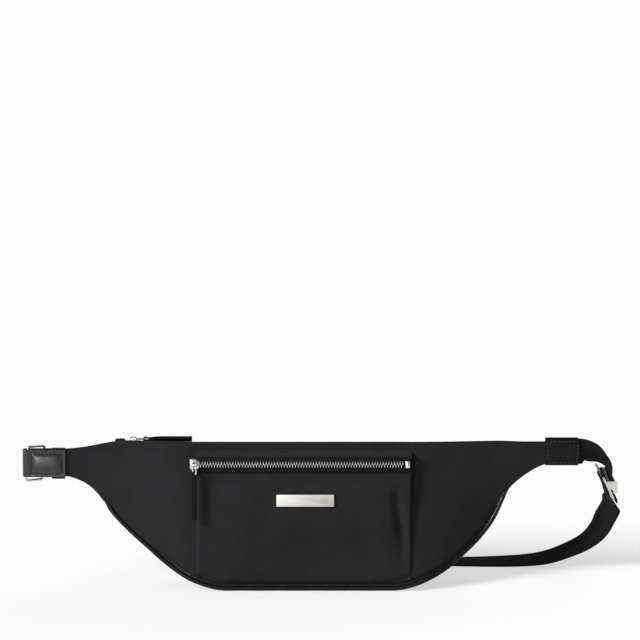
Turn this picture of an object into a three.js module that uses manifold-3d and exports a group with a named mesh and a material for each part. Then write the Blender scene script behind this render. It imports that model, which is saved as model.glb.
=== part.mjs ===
// Belt bag: a crescent-shaped nylon waist bag with a zipped top, a zipped front pocket, leather trim
// and an adjustable webbing belt. Millimetres, +Z up, X along the belt, the bag's front faces -Y.
// Origin: the middle of the bag's base, on the surface that the bag stands on.
import * as THREE from 'three';
import { mergeVertices } from 'three/addons/utils/BufferGeometryUtils.js';
import Module from 'manifold-3d';

const wasm = await Module();
wasm.setup();

const degrees = Math.PI / 180;
const { lerp, smoothstep } = THREE.MathUtils;
const vec = (x, y, z) => new THREE.Vector3(x, y, z);

// ---- Driving dimensions ----
const GAP = 0.3;                 // left between pieces that touch
const BASE_DEPTH = 44;           // front to back at the base
const FRONT_LEAN = Math.tan(11 * degrees);
const BACK_LEAN = Math.tan(4 * degrees);
const FABRIC = 1.2;              // shell fabric with its backing
const LINING = 0.5;
const TOP_HEIGHT = 131;          // top edge of the front panel
const TOP_DROP = 6.6;            // the back panel's top edge is this much lower
const WING_Y = 17;               // middle plane of the wings and of the belt's ends
const TONGUE_DEPTH = 3.6;        // thickness of the wing tongue that the leather tabs hold
const TONGUE_END = 236;
const FLAT_HALF = 100;           // the panels are flat out to here, then curve in to the wings
const WING_START = 210;
const PIPING_RADIUS = 2.2;
const PIPING_REACH = 179;        // the piping ends where the wings begin
const GUSSET_REACH = 190;

const STRAP_WIDTH = 24;
const STRAP_THICK = 1.8;
const TAB_HEIGHT = 25.4;
const LEATHER = 1.5;

const TOOTH_PITCH = 2.5;
const TOOTH_THICK = 2.4;
const ROW_INNER = 1.0;           // a tooth's tip passes the middle line by this much
const ROW_ROOT = 1.5;
const ROW_OUTER = 2.9;           // outer side of the row's spine
const TAPE_THICK = 0.8;
const MAIN_SLIDER_LENGTH = 11;
const POCKET_SLIDER_LENGTH = 8.4;
const SLIDER_WIDTH = 9.6;

// ---- Materials ----
const finish = (color, roughness, metalness) => new THREE.MeshStandardMaterial({ color, roughness, metalness });
const nylon = finish(0x26272a, 0.7, 0);
const webbing = finish(0x1c1c1e, 0.75, 0);
const leather = finish(0x202020, 0.4, 0);
const nickel = finish(0xcfcac4, 0.25, 1);
const liningCloth = finish(0x303034, 0.8, 0);

const bag = new THREE.Group();

function add(name, geometry, material, parent = bag) {
  const mesh = new THREE.Mesh(geometry, material);
  mesh.name = name;
  parent.add(mesh);
  return mesh;
}

// ---- Geometry helpers ----

// A closed sheet between two grids of points, outer[i][j] and inner[i][j].
function sheet(outer, inner) {
  const columns = outer.length;
  const rows = outer[0].length;
  const points = [...outer.flat(), ...inner.flat()];
  const at = (side, i, j) => side * columns * rows + i * rows + j;
  const faces = [];
  const quad = (a, b, c, d) => faces.push(a, b, c, a, c, d);
  for (let i = 0; i + 1 < columns; i++) {
    for (let j = 0; j + 1 < rows; j++) {
      quad(at(0, i, j), at(0, i + 1, j), at(0, i + 1, j + 1), at(0, i, j + 1));
      quad(at(1, i, j), at(1, i, j + 1), at(1, i + 1, j + 1), at(1, i + 1, j));
    }
    quad(at(0, i, 0), at(1, i, 0), at(1, i + 1, 0), at(0, i + 1, 0));
    quad(at(0, i, rows - 1), at(0, i + 1, rows - 1), at(1, i + 1, rows - 1), at(1, i, rows - 1));
  }
  for (let j = 0; j + 1 < rows; j++) {
    quad(at(0, 0, j), at(0, 0, j + 1), at(1, 0, j + 1), at(1, 0, j));
    quad(at(0, columns - 1, j), at(1, columns - 1, j), at(1, columns - 1, j + 1), at(0, columns - 1, j + 1));
  }
  return solidFrom(points, faces);
}

// A BufferGeometry from points and triangle corners, turned so that its faces point out.
function solidFrom(points, faces) {
  let volume = 0;
  for (let i = 0; i < faces.length; i += 3) {
    const [a, b, c] = [points[faces[i]], points[faces[i + 1]], points[faces[i + 2]]];
    volume += a.dot(b.clone().cross(c));
  }
  if (volume < 0) faces.reverse();
  return new THREE.BufferGeometry().setFromPoints(points).setIndex(faces);
}

// A flat strap swept through stations of { centre, across, out }, with a rectangular section.
function ribbon(stations, width, thick) {
  const corners = [[-1, -1], [1, -1], [1, 1], [-1, 1]];
  const points = stations.flatMap(({ centre, across, out }) => corners.map(([a, b]) => (
    centre.clone().addScaledVector(across, a * width / 2).addScaledVector(out, b * thick / 2)
  )));
  const faces = [0, 1, 2, 0, 2, 3];
  const last = points.length - 4;
  for (let i = 0; i < last; i += 4) {
    for (let k = 0; k < 4; k++) {
      const next = (k + 1) % 4;
      faces.push(i + k, i + 4 + k, i + 4 + next, i + k, i + 4 + next, i + next);
    }
  }
  faces.push(last, last + 2, last + 1, last, last + 3, last + 2);
  return solidFrom(points, faces);
}

// Stations along a smooth curve through knots of [centre, across].
function stationsThrough(knots, count) {
  const curve = new THREE.CatmullRomCurve3(knots.map(([centre]) => centre), false, 'centripetal');
  return Array.from({ length: count + 1 }, (_, i) => {
    const t = i / count;
    const position = t * (knots.length - 1);
    const k = Math.min(Math.floor(position), knots.length - 2);
    const forward = curve.getTangent(t);
    const across = knots[k][1].clone().lerp(knots[k + 1][1], position - k);
    across.addScaledVector(forward, -across.dot(forward)).normalize();
    return { centre: curve.getPoint(t), across, out: forward.cross(across) };
  });
}

// An extrusion of an outline drawn in two axes of the part, along the third.
function extrude(shape, depth, basis) {
  const geometry = new THREE.ExtrudeGeometry(shape, { depth, bevelEnabled: false, curveSegments: 5 });
  return geometry.applyMatrix4(basis);
}
// Outline x, y to part X, Z; the extrusion runs towards -Y from y0.
const alongY = (y0) => new THREE.Matrix4().makeBasis(vec(1, 0, 0), vec(0, 0, 1), vec(0, -1, 0)).setPosition(0, y0, 0);
// Outline x, y to part Y, Z; the extrusion runs towards +X from x0.
const alongX = (x0) => new THREE.Matrix4().makeBasis(vec(0, 1, 0), vec(0, 0, 1), vec(1, 0, 0)).setPosition(x0, 0, 0);
// Outline x, y to part X, Y; the extrusion runs towards +Z from z0.
const alongZ = (z0) => new THREE.Matrix4().makeTranslation(0, 0, z0);

const polygon = (points) => new THREE.Shape(points.map(([x, y]) => new THREE.Vector2(x, y)));
const circle = (x, y, radius, count = 12) => Array.from({ length: count }, (_, i) => {
  const a = i * 2 * Math.PI / count;
  return new THREE.Vector2(x + radius * Math.cos(a), y + radius * Math.sin(a));
});
const rectangle = (x0, y0, x1, y1) => polygon([[x0, y0], [x1, y0], [x1, y1], [x0, y1]]);

function box(x0, y0, z0, x1, y1, z1) {
  return new THREE.BoxGeometry(x1 - x0, y1 - y0, z1 - z0)
    .translate((x0 + x1) / 2, (y0 + y1) / 2, (z0 + z1) / 2);
}

function rounded(width, height, radius) {
  const [w, h] = [width / 2, height / 2];
  const shape = new THREE.Shape();
  shape.moveTo(-w + radius, -h).lineTo(w - radius, -h).absarc(w - radius, -h + radius, radius, -Math.PI / 2, 0);
  shape.lineTo(w, h - radius).absarc(w - radius, h - radius, radius, 0, Math.PI / 2);
  shape.lineTo(-w + radius, h).absarc(-w + radius, h - radius, radius, Math.PI / 2, Math.PI);
  shape.lineTo(-w, -h + radius).absarc(-w + radius, -h + radius, radius, Math.PI, 1.5 * Math.PI);
  return shape;
}

// Joins and cuts of closed meshes.
function manifold(geometry) {
  const bare = new THREE.BufferGeometry().setAttribute('position', geometry.getAttribute('position'));
  bare.setIndex(geometry.getIndex());
  const merged = mergeVertices(bare, 1e-4);
  return new wasm.Manifold(new wasm.Mesh({
    numProp: 3,
    vertProperties: merged.attributes.position.array,
    triVerts: new Uint32Array(merged.index.array),
  }));
}

function geometryOf(solid) {
  const mesh = solid.getMesh();
  const geometry = new THREE.BufferGeometry();
  geometry.setAttribute('position', new THREE.BufferAttribute(mesh.vertProperties, 3));
  return geometry.setIndex(new THREE.BufferAttribute(mesh.triVerts, 1));
}

const join = (first, ...rest) => (
  geometryOf(rest.reduce((solid, piece) => solid.add(manifold(piece)), manifold(first)))
);
const cut = (body, ...tools) => (
  geometryOf(tools.reduce((solid, tool) => solid.subtract(manifold(tool)), manifold(body)))
);

// ---- The body's surfaces ----
const wingBlend = (x) => smoothstep(Math.abs(x), FLAT_HALF, WING_START);
const frontY = (x, z) => lerp(-BASE_DEPTH / 2 + z * FRONT_LEAN, WING_Y - TONGUE_DEPTH / 2, wingBlend(x));
const backY = (x, z) => lerp(BASE_DEPTH / 2 + z * BACK_LEAN, WING_Y + TONGUE_DEPTH / 2, wingBlend(x));
const frontTop = (x) => TOP_HEIGHT - (x < 0 ? 8.4 * smoothstep(-x, 150, 220) : 1.6 * wingBlend(x));
const backTop = (x) => frontTop(x) - lerp(TOP_DROP, 1, wingBlend(x));

// The lower outline, from the left tongue to the right one, as X and Z. A filled bag is never quite
// even: the left side is drawn up a few millimetres more than the right.
const outline = new THREE.CatmullRomCurve3([
  [-TONGUE_END, 98], [-217, 97.8], [-204, 94], [-194, 88.6], [-184, 78.6], [-175, 64.5], [-158, 47.9], [-140.5, 34],
  [-122.9, 20.4], [-104.9, 9.3], [-87, 2.6], [-72, 0], [-36, 0], [36, 0], [80, 0], [94.5, 2.2],
  [109.6, 7.4], [128.5, 17], [143.6, 28.6], [159, 42.2], [172, 59], [180, 76], [185, 87], [216, 108], [TONGUE_END, 108],
].map(([x, z]) => vec(x, 0, z)), false, 'centripetal');

// Stations along the outline, each with its inward normal. Half of them would do on the straight
// stretches, so the count stays low.
function outlineStations(count, from = -TONGUE_END, to = TONGUE_END) {
  const all = outline.getSpacedPoints(600).filter((p) => p.x >= from - 0.01 && p.x <= to + 0.01);
  return Array.from({ length: count + 1 }, (_, i) => {
    const k = Math.round(i * (all.length - 1) / count);
    const point = all[k];
    const ahead = all[Math.min(k + 1, all.length - 1)].clone().sub(all[Math.max(k - 1, 0)]).normalize();
    return { x: point.x, z: Math.max(point.z, 0), inX: -ahead.z, inZ: ahead.x };
  });
}

// A panel: a sheet that follows surface(x, z) from the outline, moved in by inset(x), up to top(x).
function panel(surface, top, inset, thick, stations, rows, inwards) {
  const outer = stations.map((s) => {
    const x = s.x + s.inX * inset(s.x);
    const low = s.z + s.inZ * inset(s.x);
    return Array.from({ length: rows + 1 }, (_, j) => {
      const z = lerp(low, top(x), j / rows);
      return vec(x, surface(x, z), z);
    });
  });
  return sheet(outer, outer.map((column) => column.map((p) => p.clone().add(vec(0, inwards * thick, 0)))));
}

const pipingSpace = 2 * PIPING_RADIUS + 0.6;
const shellInset = (x) => pipingSpace * (1 - smoothstep(Math.abs(x), PIPING_REACH + 1, PIPING_REACH + 6));
const bodyStations = outlineStations(56);

function makeShell() {
  add('front_panel', panel(frontY, frontTop, shellInset, FABRIC, bodyStations, 4, 1), nylon);
  add('back_panel', panel(backY, backTop, shellInset, FABRIC, bodyStations, 4, -1), nylon);
}

// The gusset joins the two panels round the bottom, and is the flat base that the bag stands on.
function makeGusset() {
  const stations = outlineStations(44, -GUSSET_REACH, GUSSET_REACH);
  const edge = (x) => lerp(2.8, FABRIC + GAP, smoothstep(Math.abs(x), PIPING_REACH - 2, PIPING_REACH + 8));
  const line = (s, depth) => {
    const x = s.x + s.inX * depth;
    const z = s.z + s.inZ * depth;
    return [vec(x, frontY(x, z) + edge(x), z), vec(x, backY(x, z) - edge(x), z)];
  };
  const outer = stations.map((s) => line(s, 0));
  const inner = stations.map((s) => line(s, FABRIC));
  inner.forEach((pair, i) => pair.forEach((p, j) => { p.y = outer[i][j].y; }));
  add('bottom_gusset', sheet(outer, inner), nylon);
}

function makePiping() {
  const stations = outlineStations(40, -PIPING_REACH, PIPING_REACH);
  const section = new THREE.Shape(circle(0, 0, PIPING_RADIUS, 8));
  const reach = PIPING_RADIUS + 0.25;
  for (const [name, surface, side] of [['front_piping', frontY, 1], ['back_piping', backY, -1]]) {
    const centres = stations.map((s) => {
      const [x, z] = [s.x + s.inX * reach, s.z + s.inZ * reach];
      return vec(x, surface(x, z) + side * 0.6, z);
    });
    const path = new THREE.CatmullRomCurve3(centres);
    add(name, new THREE.ExtrudeGeometry(section, { steps: 56, curveSegments: 4, extrudePath: path }), leather);
  }
}

// Lining: two thin sheets that hang inside the shell, and a slip pocket on the back one.
function makeLining() {
  const stations = outlineStations(30, -180, 180);
  const inset = () => pipingSpace + 3;
  const hang = 8;
  const frontIn = (x, z) => frontY(x, z) + FABRIC + 0.8;
  const backIn = (x, z) => backY(x, z) - FABRIC - 0.8;
  add('lining_front', panel(frontIn, (x) => frontTop(x) - hang, inset, LINING, stations, 2, 1), liningCloth);
  add('lining_back', panel(backIn, (x) => backTop(x) - hang, inset, LINING, stations, 2, -1), liningCloth);
  const slip = polygon([[-70, 24], [70, 24], [70, 92], [-70, 92]]);
  const lean = new THREE.Matrix4().makeShear(0, 0, 0, 0, 0, BACK_LEAN);
  add('inner_slip_pocket', extrude(slip, 0.8, alongY(0)).applyMatrix4(lean)
    .translate(0, backIn(0, 0) - LINING - GAP, 0), liningCloth);
}

// ---- Zips ----
// A zip is built flat: X along the chain, Y across it, Z out of the face, and set in place by its group.

// One row of teeth on its spine. side is +1 or -1; the two rows mesh with a small running gap.
function toothRow(from, to, side) {
  const start = from + (side > 0 ? 0.2 : 0.2 + TOOTH_PITCH / 2);
  const count = Math.floor((to - start) / TOOTH_PITCH) - 1;
  const points = [[from, side * ROW_OUTER], [from, side * ROW_ROOT], [start, side * ROW_ROOT]];
  for (let i = 0; i < count; i++) {
    const x = start + i * TOOTH_PITCH;
    points.push([x + TOOTH_PITCH / 2, -side * ROW_INNER], [x + TOOTH_PITCH, side * ROW_ROOT]);
  }
  points.push([to, side * ROW_OUTER]);
  if (side < 0) points.reverse();
  return extrude(polygon(points.reverse()), TOOTH_THICK, alongZ(-TOOTH_THICK / 2));
}

// The slider's two plates hold the chain between them; the upper one carries the arch that the pull hangs on.
const PLATE = 1.3;
const ARCH_LENGTH = 7.4;
const ARCH_HEIGHT = 3.6;
const ARCH_WIDTH = 2;
const ARCH_BAR = 1.1;
const ARCH_FOOT = 1.1;
const plateZ = TOOTH_THICK / 2 + GAP;

function sliderOutline(length) {
  const [l, w] = [length / 2, SLIDER_WIDTH / 2];
  return polygon([[-l, -w * 0.72], [-l + 1.5, -w], [l - 3.5, -w], [l, -w * 0.62], [l, w * 0.62], [l - 3.5, w], [-l + 1.5, w], [-l, w * 0.72]]);
}

function sliderUpper(length) {
  const plate = extrude(sliderOutline(length), PLATE, alongZ(plateZ));
  const [foot, top] = [ARCH_LENGTH / 2, ARCH_HEIGHT - ARCH_BAR];
  const arch = polygon([
    [-foot, -0.4], [ARCH_FOOT - foot, -0.4], [ARCH_FOOT - foot, top], [foot - ARCH_FOOT, top],
    [foot - ARCH_FOOT, -0.4], [foot, -0.4], [foot, ARCH_HEIGHT - 0.8], [foot - 1, ARCH_HEIGHT],
    [1 - foot, ARCH_HEIGHT], [-foot, ARCH_HEIGHT - 0.8],
  ]);
  return join(plate, extrude(arch, ARCH_WIDTH, alongY(ARCH_WIDTH / 2)).translate(0, 0, plateZ + PLATE));
}

const sliderLower = (length) => extrude(sliderOutline(length), PLATE, alongZ(-plateZ - PLATE));
const ARCH_TOP = plateZ + PLATE + ARCH_HEIGHT;
const LINK_WIRE = 0.75;
const LINK_LENGTH = 9.5;         // between the wire's middles at the two ends
const LINK_WIDTH = 7.2;

// A closed ring of round wire in the XY plane, with cut corners; its near bar lies on the Y axis.
function wireRing(length, width, corner, wire, sides) {
  const half = width / 2;
  const points = [
    [0, half - corner], [0, corner - half], [corner, -half], [length - corner, -half],
    [length, corner - half], [length, half - corner], [length - corner, half], [corner, half],
  ].map(([x, y]) => vec(x, y, 0));
  const rings = points.map((p, i) => {
    const before = p.clone().sub(points[(i + 7) % 8]).normalize();
    const after = points[(i + 1) % 8].clone().sub(p).normalize();
    const outward = before.clone().add(after).normalize().cross(vec(0, 0, 1));
    const mitre = 1 / Math.cos(before.angleTo(after) / 2);
    return Array.from({ length: sides }, (_, k) => {
      const a = (k + 0.5) * 2 * Math.PI / sides;
      return p.clone().addScaledVector(outward, wire * mitre * Math.cos(a)).add(vec(0, 0, wire * Math.sin(a)));
    });
  });
  const faces = [];
  for (let i = 0; i < rings.length; i++) {
    for (let k = 0; k < sides; k++) {
      const [a, b] = [i * sides, ((i + 1) % rings.length) * sides];
      const n = (k + 1) % sides;
      faces.push(a + k, a + n, b + n, a + k, b + n, b + k);
    }
  }
  return solidFrom(rings.flat(), faces);
}

const linkRing = () => wireRing(LINK_LENGTH, LINK_WIDTH, 0.9, LINK_WIRE, 6);

// The leather pull: a folded strip whose eye goes round the link's end. The eye is at the origin.
const PULL_LENGTH = 42;
const PULL_THICK = 3.4;
const PULL_WIDTH = 4.6;
const EYE_RADIUS = 2.4;
function pullStrip() {
  const half = PULL_THICK / 2;
  const shape = new THREE.Shape();
  const a = Math.asin(half / EYE_RADIUS);
  shape.moveTo(EYE_RADIUS * Math.cos(a), half);
  shape.absarc(0, 0, EYE_RADIUS, a, 2 * Math.PI - a, false);
  shape.lineTo(PULL_LENGTH - 1, -half).lineTo(PULL_LENGTH, -half + 1).lineTo(PULL_LENGTH, half - 1).lineTo(PULL_LENGTH - 1, half);
  shape.holes.push(new THREE.Path(circle(0, 0, LINK_WIRE + 0.4)));
  return extrude(shape, PULL_WIDTH, alongY(PULL_WIDTH / 2));
}

// ---- Main zip, across the top ----
const MAIN_REACH = 168;
const TOP_TILT = Math.atan(TOP_DROP / (backY(0, TOP_HEIGHT - TOP_DROP) - frontY(0, TOP_HEIGHT)));
const MAIN_SLIDER_X = -154;
const mainZip = new THREE.Group();
mainZip.position.set(0, WING_Y, TOP_HEIGHT - 0.9 - (WING_Y - frontY(0, TOP_HEIGHT)) * Math.tan(TOP_TILT));
mainZip.rotation.x = -TOP_TILT;
bag.add(mainZip);

function mainTape(side) {
  const edge = (x) => {
    const reach = side > 0 ? backY(x, backTop(x)) - WING_Y : WING_Y - frontY(x, frontTop(x));
    return side * (reach / Math.cos(TOP_TILT) - FABRIC - 0.9);
  };
  const xs = Array.from({ length: 25 }, (_, i) => lerp(-MAIN_REACH, MAIN_REACH, i / 24));
  const at = (z) => xs.map((x) => [vec(x, side * (ROW_OUTER + GAP), z), vec(x, edge(x), z)]);
  return sheet(at(TAPE_THICK / 2), at(-TAPE_THICK / 2));
}

function makeMainZip() {
  add('main_zip_tape_front', mainTape(-1), webbing, mainZip);
  add('main_zip_tape_back', mainTape(1), webbing, mainZip);
  add('main_zip_teeth_front', toothRow(-MAIN_REACH + 6, MAIN_REACH - 6, -1), nickel, mainZip);
  add('main_zip_teeth_back', toothRow(-MAIN_REACH + 6, MAIN_REACH - 6, 1), nickel, mainZip);
  const slider = new THREE.Group();
  slider.position.x = MAIN_SLIDER_X;
  mainZip.add(slider);
  add('main_slider_upper', sliderUpper(MAIN_SLIDER_LENGTH), nickel, slider);
  add('main_slider_lower', sliderLower(MAIN_SLIDER_LENGTH), nickel, slider);
  // The link lies along the zip, out over the slider's tail, with the strip laid out beyond it.
  const pivot = vec(ARCH_LENGTH / 2 - 2.4, 0, ARCH_TOP - ARCH_BAR - LINK_WIRE - 0.15);
  add('main_pull_link', linkRing(), nickel, slider).position.copy(pivot);
  add('main_pull', pullStrip(), leather, slider).position.copy(pivot).add(vec(LINK_LENGTH, 0, 0));
}

// Fabric caps over the two ends of the main zip, folded across the chain.
function makeZipCaps() {
  for (const [name, middle, rise] of [['main_zip_cap_left', -166, 3.4], ['main_zip_cap_right', 166.5, 1]]) {
    const shape = new THREE.Shape();
    shape.moveTo(-5.5, -0.6).lineTo(-3.5, 0.4 + rise * 0.8).lineTo(-1.5, 1 + rise).lineTo(2, 1 + rise).lineTo(4.5, 0.5 + rise * 0.5).lineTo(5.5, -0.6);
    const halfDepth = 3.6;
    const cap = extrude(shape, 2 * halfDepth, alongY(halfDepth));
    const tunnel = box(-8, -ROW_OUTER - 1, -2, 8, ROW_OUTER + 1, TOOTH_THICK / 2 + GAP);
    const slot = box(-8, -20, -2, 8, 20, TAPE_THICK / 2 + GAP);
    add(name, cut(cap, tunnel, slot), nylon, mainZip).position.x = middle;
  }
}

// Narrow strips that close the wings' top edges, from the zip's ends to the tongues.
function makeWingStrips() {
  for (const [name, side] of [['left_wing_strip', -1], ['right_wing_strip', 1]]) {
    const xs = Array.from({ length: 7 }, (_, i) => side * lerp(174, 198, i / 6));
    const at = (drop) => xs.map((x) => {
      const z = Math.min(frontTop(x), backTop(x)) - drop;
      return [vec(x, frontY(x, z) + FABRIC + GAP, z), vec(x, backY(x, z) - FABRIC - GAP, z)];
    });
    add(name, sheet(at(0.6), at(1.6)), nylon);
  }
}

// ---- Front pocket ----
const POCKET_LEFT = -97.5;
const POCKET_RIGHT = 96;
const POCKET_FOOT_Y = -23.5;
const POCKET_LEAN = 0.0935;
const POCKET_PANEL_TOP = 107;
const POCKET_ZIP_Z = 115.6;
const POCKET_TOP = 123;
const pocketY = (z) => POCKET_FOOT_Y + z * POCKET_LEAN;
const pocketTilt = Math.atan(POCKET_LEAN);
const PLATE_SIZE = [51.8, 11, 1.6];
const PLATE_X = 0.7;
const PLATE_Z = 83.4;

// The pocket's face: X along, Y up the face, Z out of it. The group's origin is on the face at its foot.
const pocketFace = new THREE.Group();
pocketFace.position.set(0, POCKET_FOOT_Y, 0);
pocketFace.rotation.x = Math.PI / 2 - pocketTilt;
bag.add(pocketFace);
const upFace = (z) => z / Math.cos(pocketTilt);

function makePocket() {
  const prongs = [-18, 18].map((x) => box(PLATE_X + x - 1.2, upFace(PLATE_Z) - 0.6, -8, PLATE_X + x + 1.2, upFace(PLATE_Z) + 0.6, 3));
  const widened = [-18, 18].map((x) => box(PLATE_X + x - 1.6, upFace(PLATE_Z) - 1, -8, PLATE_X + x + 1.6, upFace(PLATE_Z) + 1, 3));
  const lower = [[POCKET_LEFT, 12.2], [-91, 9.6], [-84, 7.4], [-72, 5.6], [78, 5.6], [88, 7.2], [POCKET_RIGHT, 9.4]];
  const upper = [[POCKET_RIGHT, POCKET_PANEL_TOP], [POCKET_LEFT, POCKET_PANEL_TOP]];
  const face = extrude(polygon([...lower, ...upper].map(([x, z]) => [x, upFace(z)])), FABRIC, alongZ(-FABRIC));
  add('pocket_panel', cut(face, ...widened), nylon, pocketFace);

  const plate = extrude(rounded(PLATE_SIZE[0], PLATE_SIZE[1], 0.8), PLATE_SIZE[2], alongZ(0))
    .translate(PLATE_X, upFace(PLATE_Z), GAP);
  const stems = prongs.map((prong) => manifold(prong).intersect(manifold(box(-60, 0, -FABRIC - 1.6, 60, 120, 1))));
  const fixed = stems.reduce((solid, stem) => solid.add(stem), manifold(plate));
  add('name_plate', geometryOf(fixed), nickel, pocketFace);
  const backing = extrude(rounded(PLATE_SIZE[0] - 4, PLATE_SIZE[1] - 3, 0.8), 0.8, alongZ(0))
    .translate(PLATE_X, upFace(PLATE_Z), -FABRIC - GAP - 0.8);
  add('plate_backing', cut(backing, ...widened), nickel, pocketFace);

  // The left side wall stops below the zip, whose slider parks past the pocket's edge.
  const sides = [['pocket_gusset_left', POCKET_LEFT, 108], ['pocket_gusset_right', POCKET_RIGHT - FABRIC, POCKET_TOP - 1]];
  for (const [name, x, top] of sides) {
    const foot = 20;
    const side = polygon([
      [frontY(0, foot) - GAP, foot], [frontY(0, top) - GAP, top],
      [pocketY(top) + FABRIC + GAP, top], [pocketY(foot) + FABRIC + GAP, foot],
    ]);
    add(name, extrude(side, FABRIC, alongX(x)), nylon);
  }

  const [nearY, farY] = [pocketY(POCKET_TOP), frontY(0, POCKET_TOP + 2) - GAP];
  const roof = polygon([
    [nearY, POCKET_TOP - 0.9], [nearY, POCKET_TOP + 0.5], [farY, POCKET_TOP + 2.6], [farY, POCKET_TOP + 1.4],
    [nearY + 2, POCKET_TOP - 0.9],
  ]);
  add('pocket_top_gusset', extrude(roof, POCKET_RIGHT - POCKET_LEFT, alongX(POCKET_LEFT)), nylon);
}

const POCKET_CHAIN = [-98, 94.5];
const POCKET_SLIDER_X = -98.6;      // the middle of the closed slider, past the pocket's left edge
const LINK_TURN = 25 * degrees;

function makePocketZip() {
  const zip = new THREE.Group();
  zip.position.set(0, upFace(POCKET_ZIP_Z), -TOOTH_THICK / 2 + 0.4);
  pocketFace.add(zip);
  const [from, to] = POCKET_CHAIN;
  const [tapeLeft, tapeRight] = [POCKET_LEFT + FABRIC + GAP, POCKET_RIGHT - FABRIC - GAP];
  const tape = (section) => extrude(polygon(section), tapeRight - tapeLeft, alongX(tapeLeft));
  const [near, far] = [ROW_OUTER + GAP, upFace(POCKET_TOP - 1.4) - upFace(POCKET_ZIP_Z)];
  const half = TAPE_THICK / 2;
  add('pocket_tape_upper', tape([[near, -half], [far, -half], [far, half], [near, half]]), webbing, zip);
  // The lower tape steps down behind the top edge of the pocket's panel, where it is sewn.
  const edge = upFace(POCKET_PANEL_TOP) - upFace(POCKET_ZIP_Z) + GAP;
  add('pocket_tape_lower', tape([
    [edge - 4.3, -1.55], [edge + TAPE_THICK, -1.55], [edge + TAPE_THICK, -half], [-near, -half], [-near, half],
    [edge, half], [edge, -0.75], [edge - 4.3, -0.75],
  ]), webbing, zip);
  add('pocket_teeth_upper', toothRow(from + 3.5, to - 4, 1), nickel, zip);
  add('pocket_teeth_lower', toothRow(from + 3.5, to - 4, -1), nickel, zip);
  add('pocket_zip_box', box(to - 3.6, -3.2, -1.4, to, 3.2, 1.6), nickel, zip);

  const slider = new THREE.Group();
  slider.position.x = POCKET_SLIDER_X;
  zip.add(slider);
  add('pocket_slider_upper', sliderUpper(POCKET_SLIDER_LENGTH), nickel, slider);
  add('pocket_slider_lower', sliderLower(POCKET_SLIDER_LENGTH), nickel, slider);
  // The link goes round the arch's bar and hangs down the face, nearly edge on; the strip hangs from it.
  const hanger = new THREE.Group();
  hanger.position.set(-LINK_WIDTH / 2 * Math.sin(LINK_TURN), ARCH_WIDTH / 2 + LINK_WIRE + 0.15, ARCH_TOP - ARCH_BAR - LINK_WIRE - 0.2);
  const down = vec(0, -1, 0);
  const bar = vec(Math.sin(LINK_TURN), 0, Math.cos(LINK_TURN));
  hanger.quaternion.setFromRotationMatrix(new THREE.Matrix4().makeBasis(down, bar, down.clone().cross(bar)));
  slider.add(hanger);
  add('pocket_pull_link', linkRing(), nickel, hanger).position.y = LINK_WIDTH / 2;
  add('pocket_pull', pullStrip(), leather, hanger).position.set(LINK_LENGTH, LINK_WIDTH / 2, 0);
}

// ---- Belt ----
const LEFT_TAB_X = -215.5;
const LEFT_TAB_Z = 109.2;
const RIGHT_TAB_X = [216.5, 248];
const RIGHT_TAB_Z = 119.8;
const RING_WIRE = 1.15;
const RING_PIVOT = vec(-250, WING_Y, 108.2);
const RING_FAR = vec(-235.5, 27, 106.8);
const RING_HEIGHT = 33.5;
const FOLD_RADIUS = 2.4;         // the left tab's leather stands this far from the ring's bar

function makeLeftTab() {
  const outer = FOLD_RADIUS + LEATHER;
  const x = RING_PIVOT.x;
  const shape = new THREE.Shape();
  shape.moveTo(LEFT_TAB_X, WING_Y - outer).lineTo(LEFT_TAB_X, WING_Y - FOLD_RADIUS).lineTo(x, WING_Y - FOLD_RADIUS);
  shape.absarc(x, WING_Y, FOLD_RADIUS, -Math.PI / 2, Math.PI / 2, true);
  shape.lineTo(LEFT_TAB_X, WING_Y + FOLD_RADIUS).lineTo(LEFT_TAB_X, WING_Y + outer).lineTo(x, WING_Y + outer);
  shape.absarc(x, WING_Y, outer, Math.PI / 2, -Math.PI / 2, false);
  add('left_tab', extrude(shape, TAB_HEIGHT, alongZ(LEFT_TAB_Z - TAB_HEIGHT / 2)), leather);
}

// A rectangular metal ring: one side lies in the tab's fold, the far side in the belt's loop.
function makeRing() {
  const across = RING_FAR.clone().sub(RING_PIVOT);
  const ring = wireRing(across.length(), RING_HEIGHT - 2 * RING_WIRE, 2.2, RING_WIRE, 8);
  const forward = across.clone().normalize();
  const up = vec(0, 0, 1).addScaledVector(forward, -forward.z).normalize();
  ring.applyMatrix4(new THREE.Matrix4().makeBasis(forward, up, forward.clone().cross(up)));
  add('belt_ring', ring, nickel).position.copy(RING_PIVOT);
}

function makeRightTab() {
  const half = TONGUE_DEPTH / 2 + GAP;
  const [z0, z1] = [RIGHT_TAB_Z - TAB_HEIGHT / 2, RIGHT_TAB_Z + TAB_HEIGHT / 2];
  const shape = rectangle(WING_Y - half - LEATHER, z0, WING_Y + half + LEATHER, z1);
  shape.holes.push(rectangle(WING_Y - half, RIGHT_TAB_Z - STRAP_WIDTH / 2 - GAP, WING_Y + half, RIGHT_TAB_Z + STRAP_WIDTH / 2 + GAP));
  add('right_tab', extrude(shape, RIGHT_TAB_X[1] - RIGHT_TAB_X[0], alongX(RIGHT_TAB_X[0])), leather);
}

// The clasp's own frame: T down the belt, W across it towards the belt's top edge, N out of its face.
const claspT = vec(0.4, 0.25, -0.88).normalize();
const claspN = claspT.clone().cross(vec(0.2, -0.962, -0.178)).normalize();
const claspW = claspN.clone().cross(claspT);
const CLASP_AT = vec(269.7, 31, 90.8);
const clasp = new THREE.Group();
clasp.matrixAutoUpdate = false;
clasp.matrix.makeBasis(claspT, claspW, claspN).setPosition(CLASP_AT);
bag.add(clasp);
const onClasp = (t, w, n) => vec(t, w, n).applyMatrix4(clasp.matrix);

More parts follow.
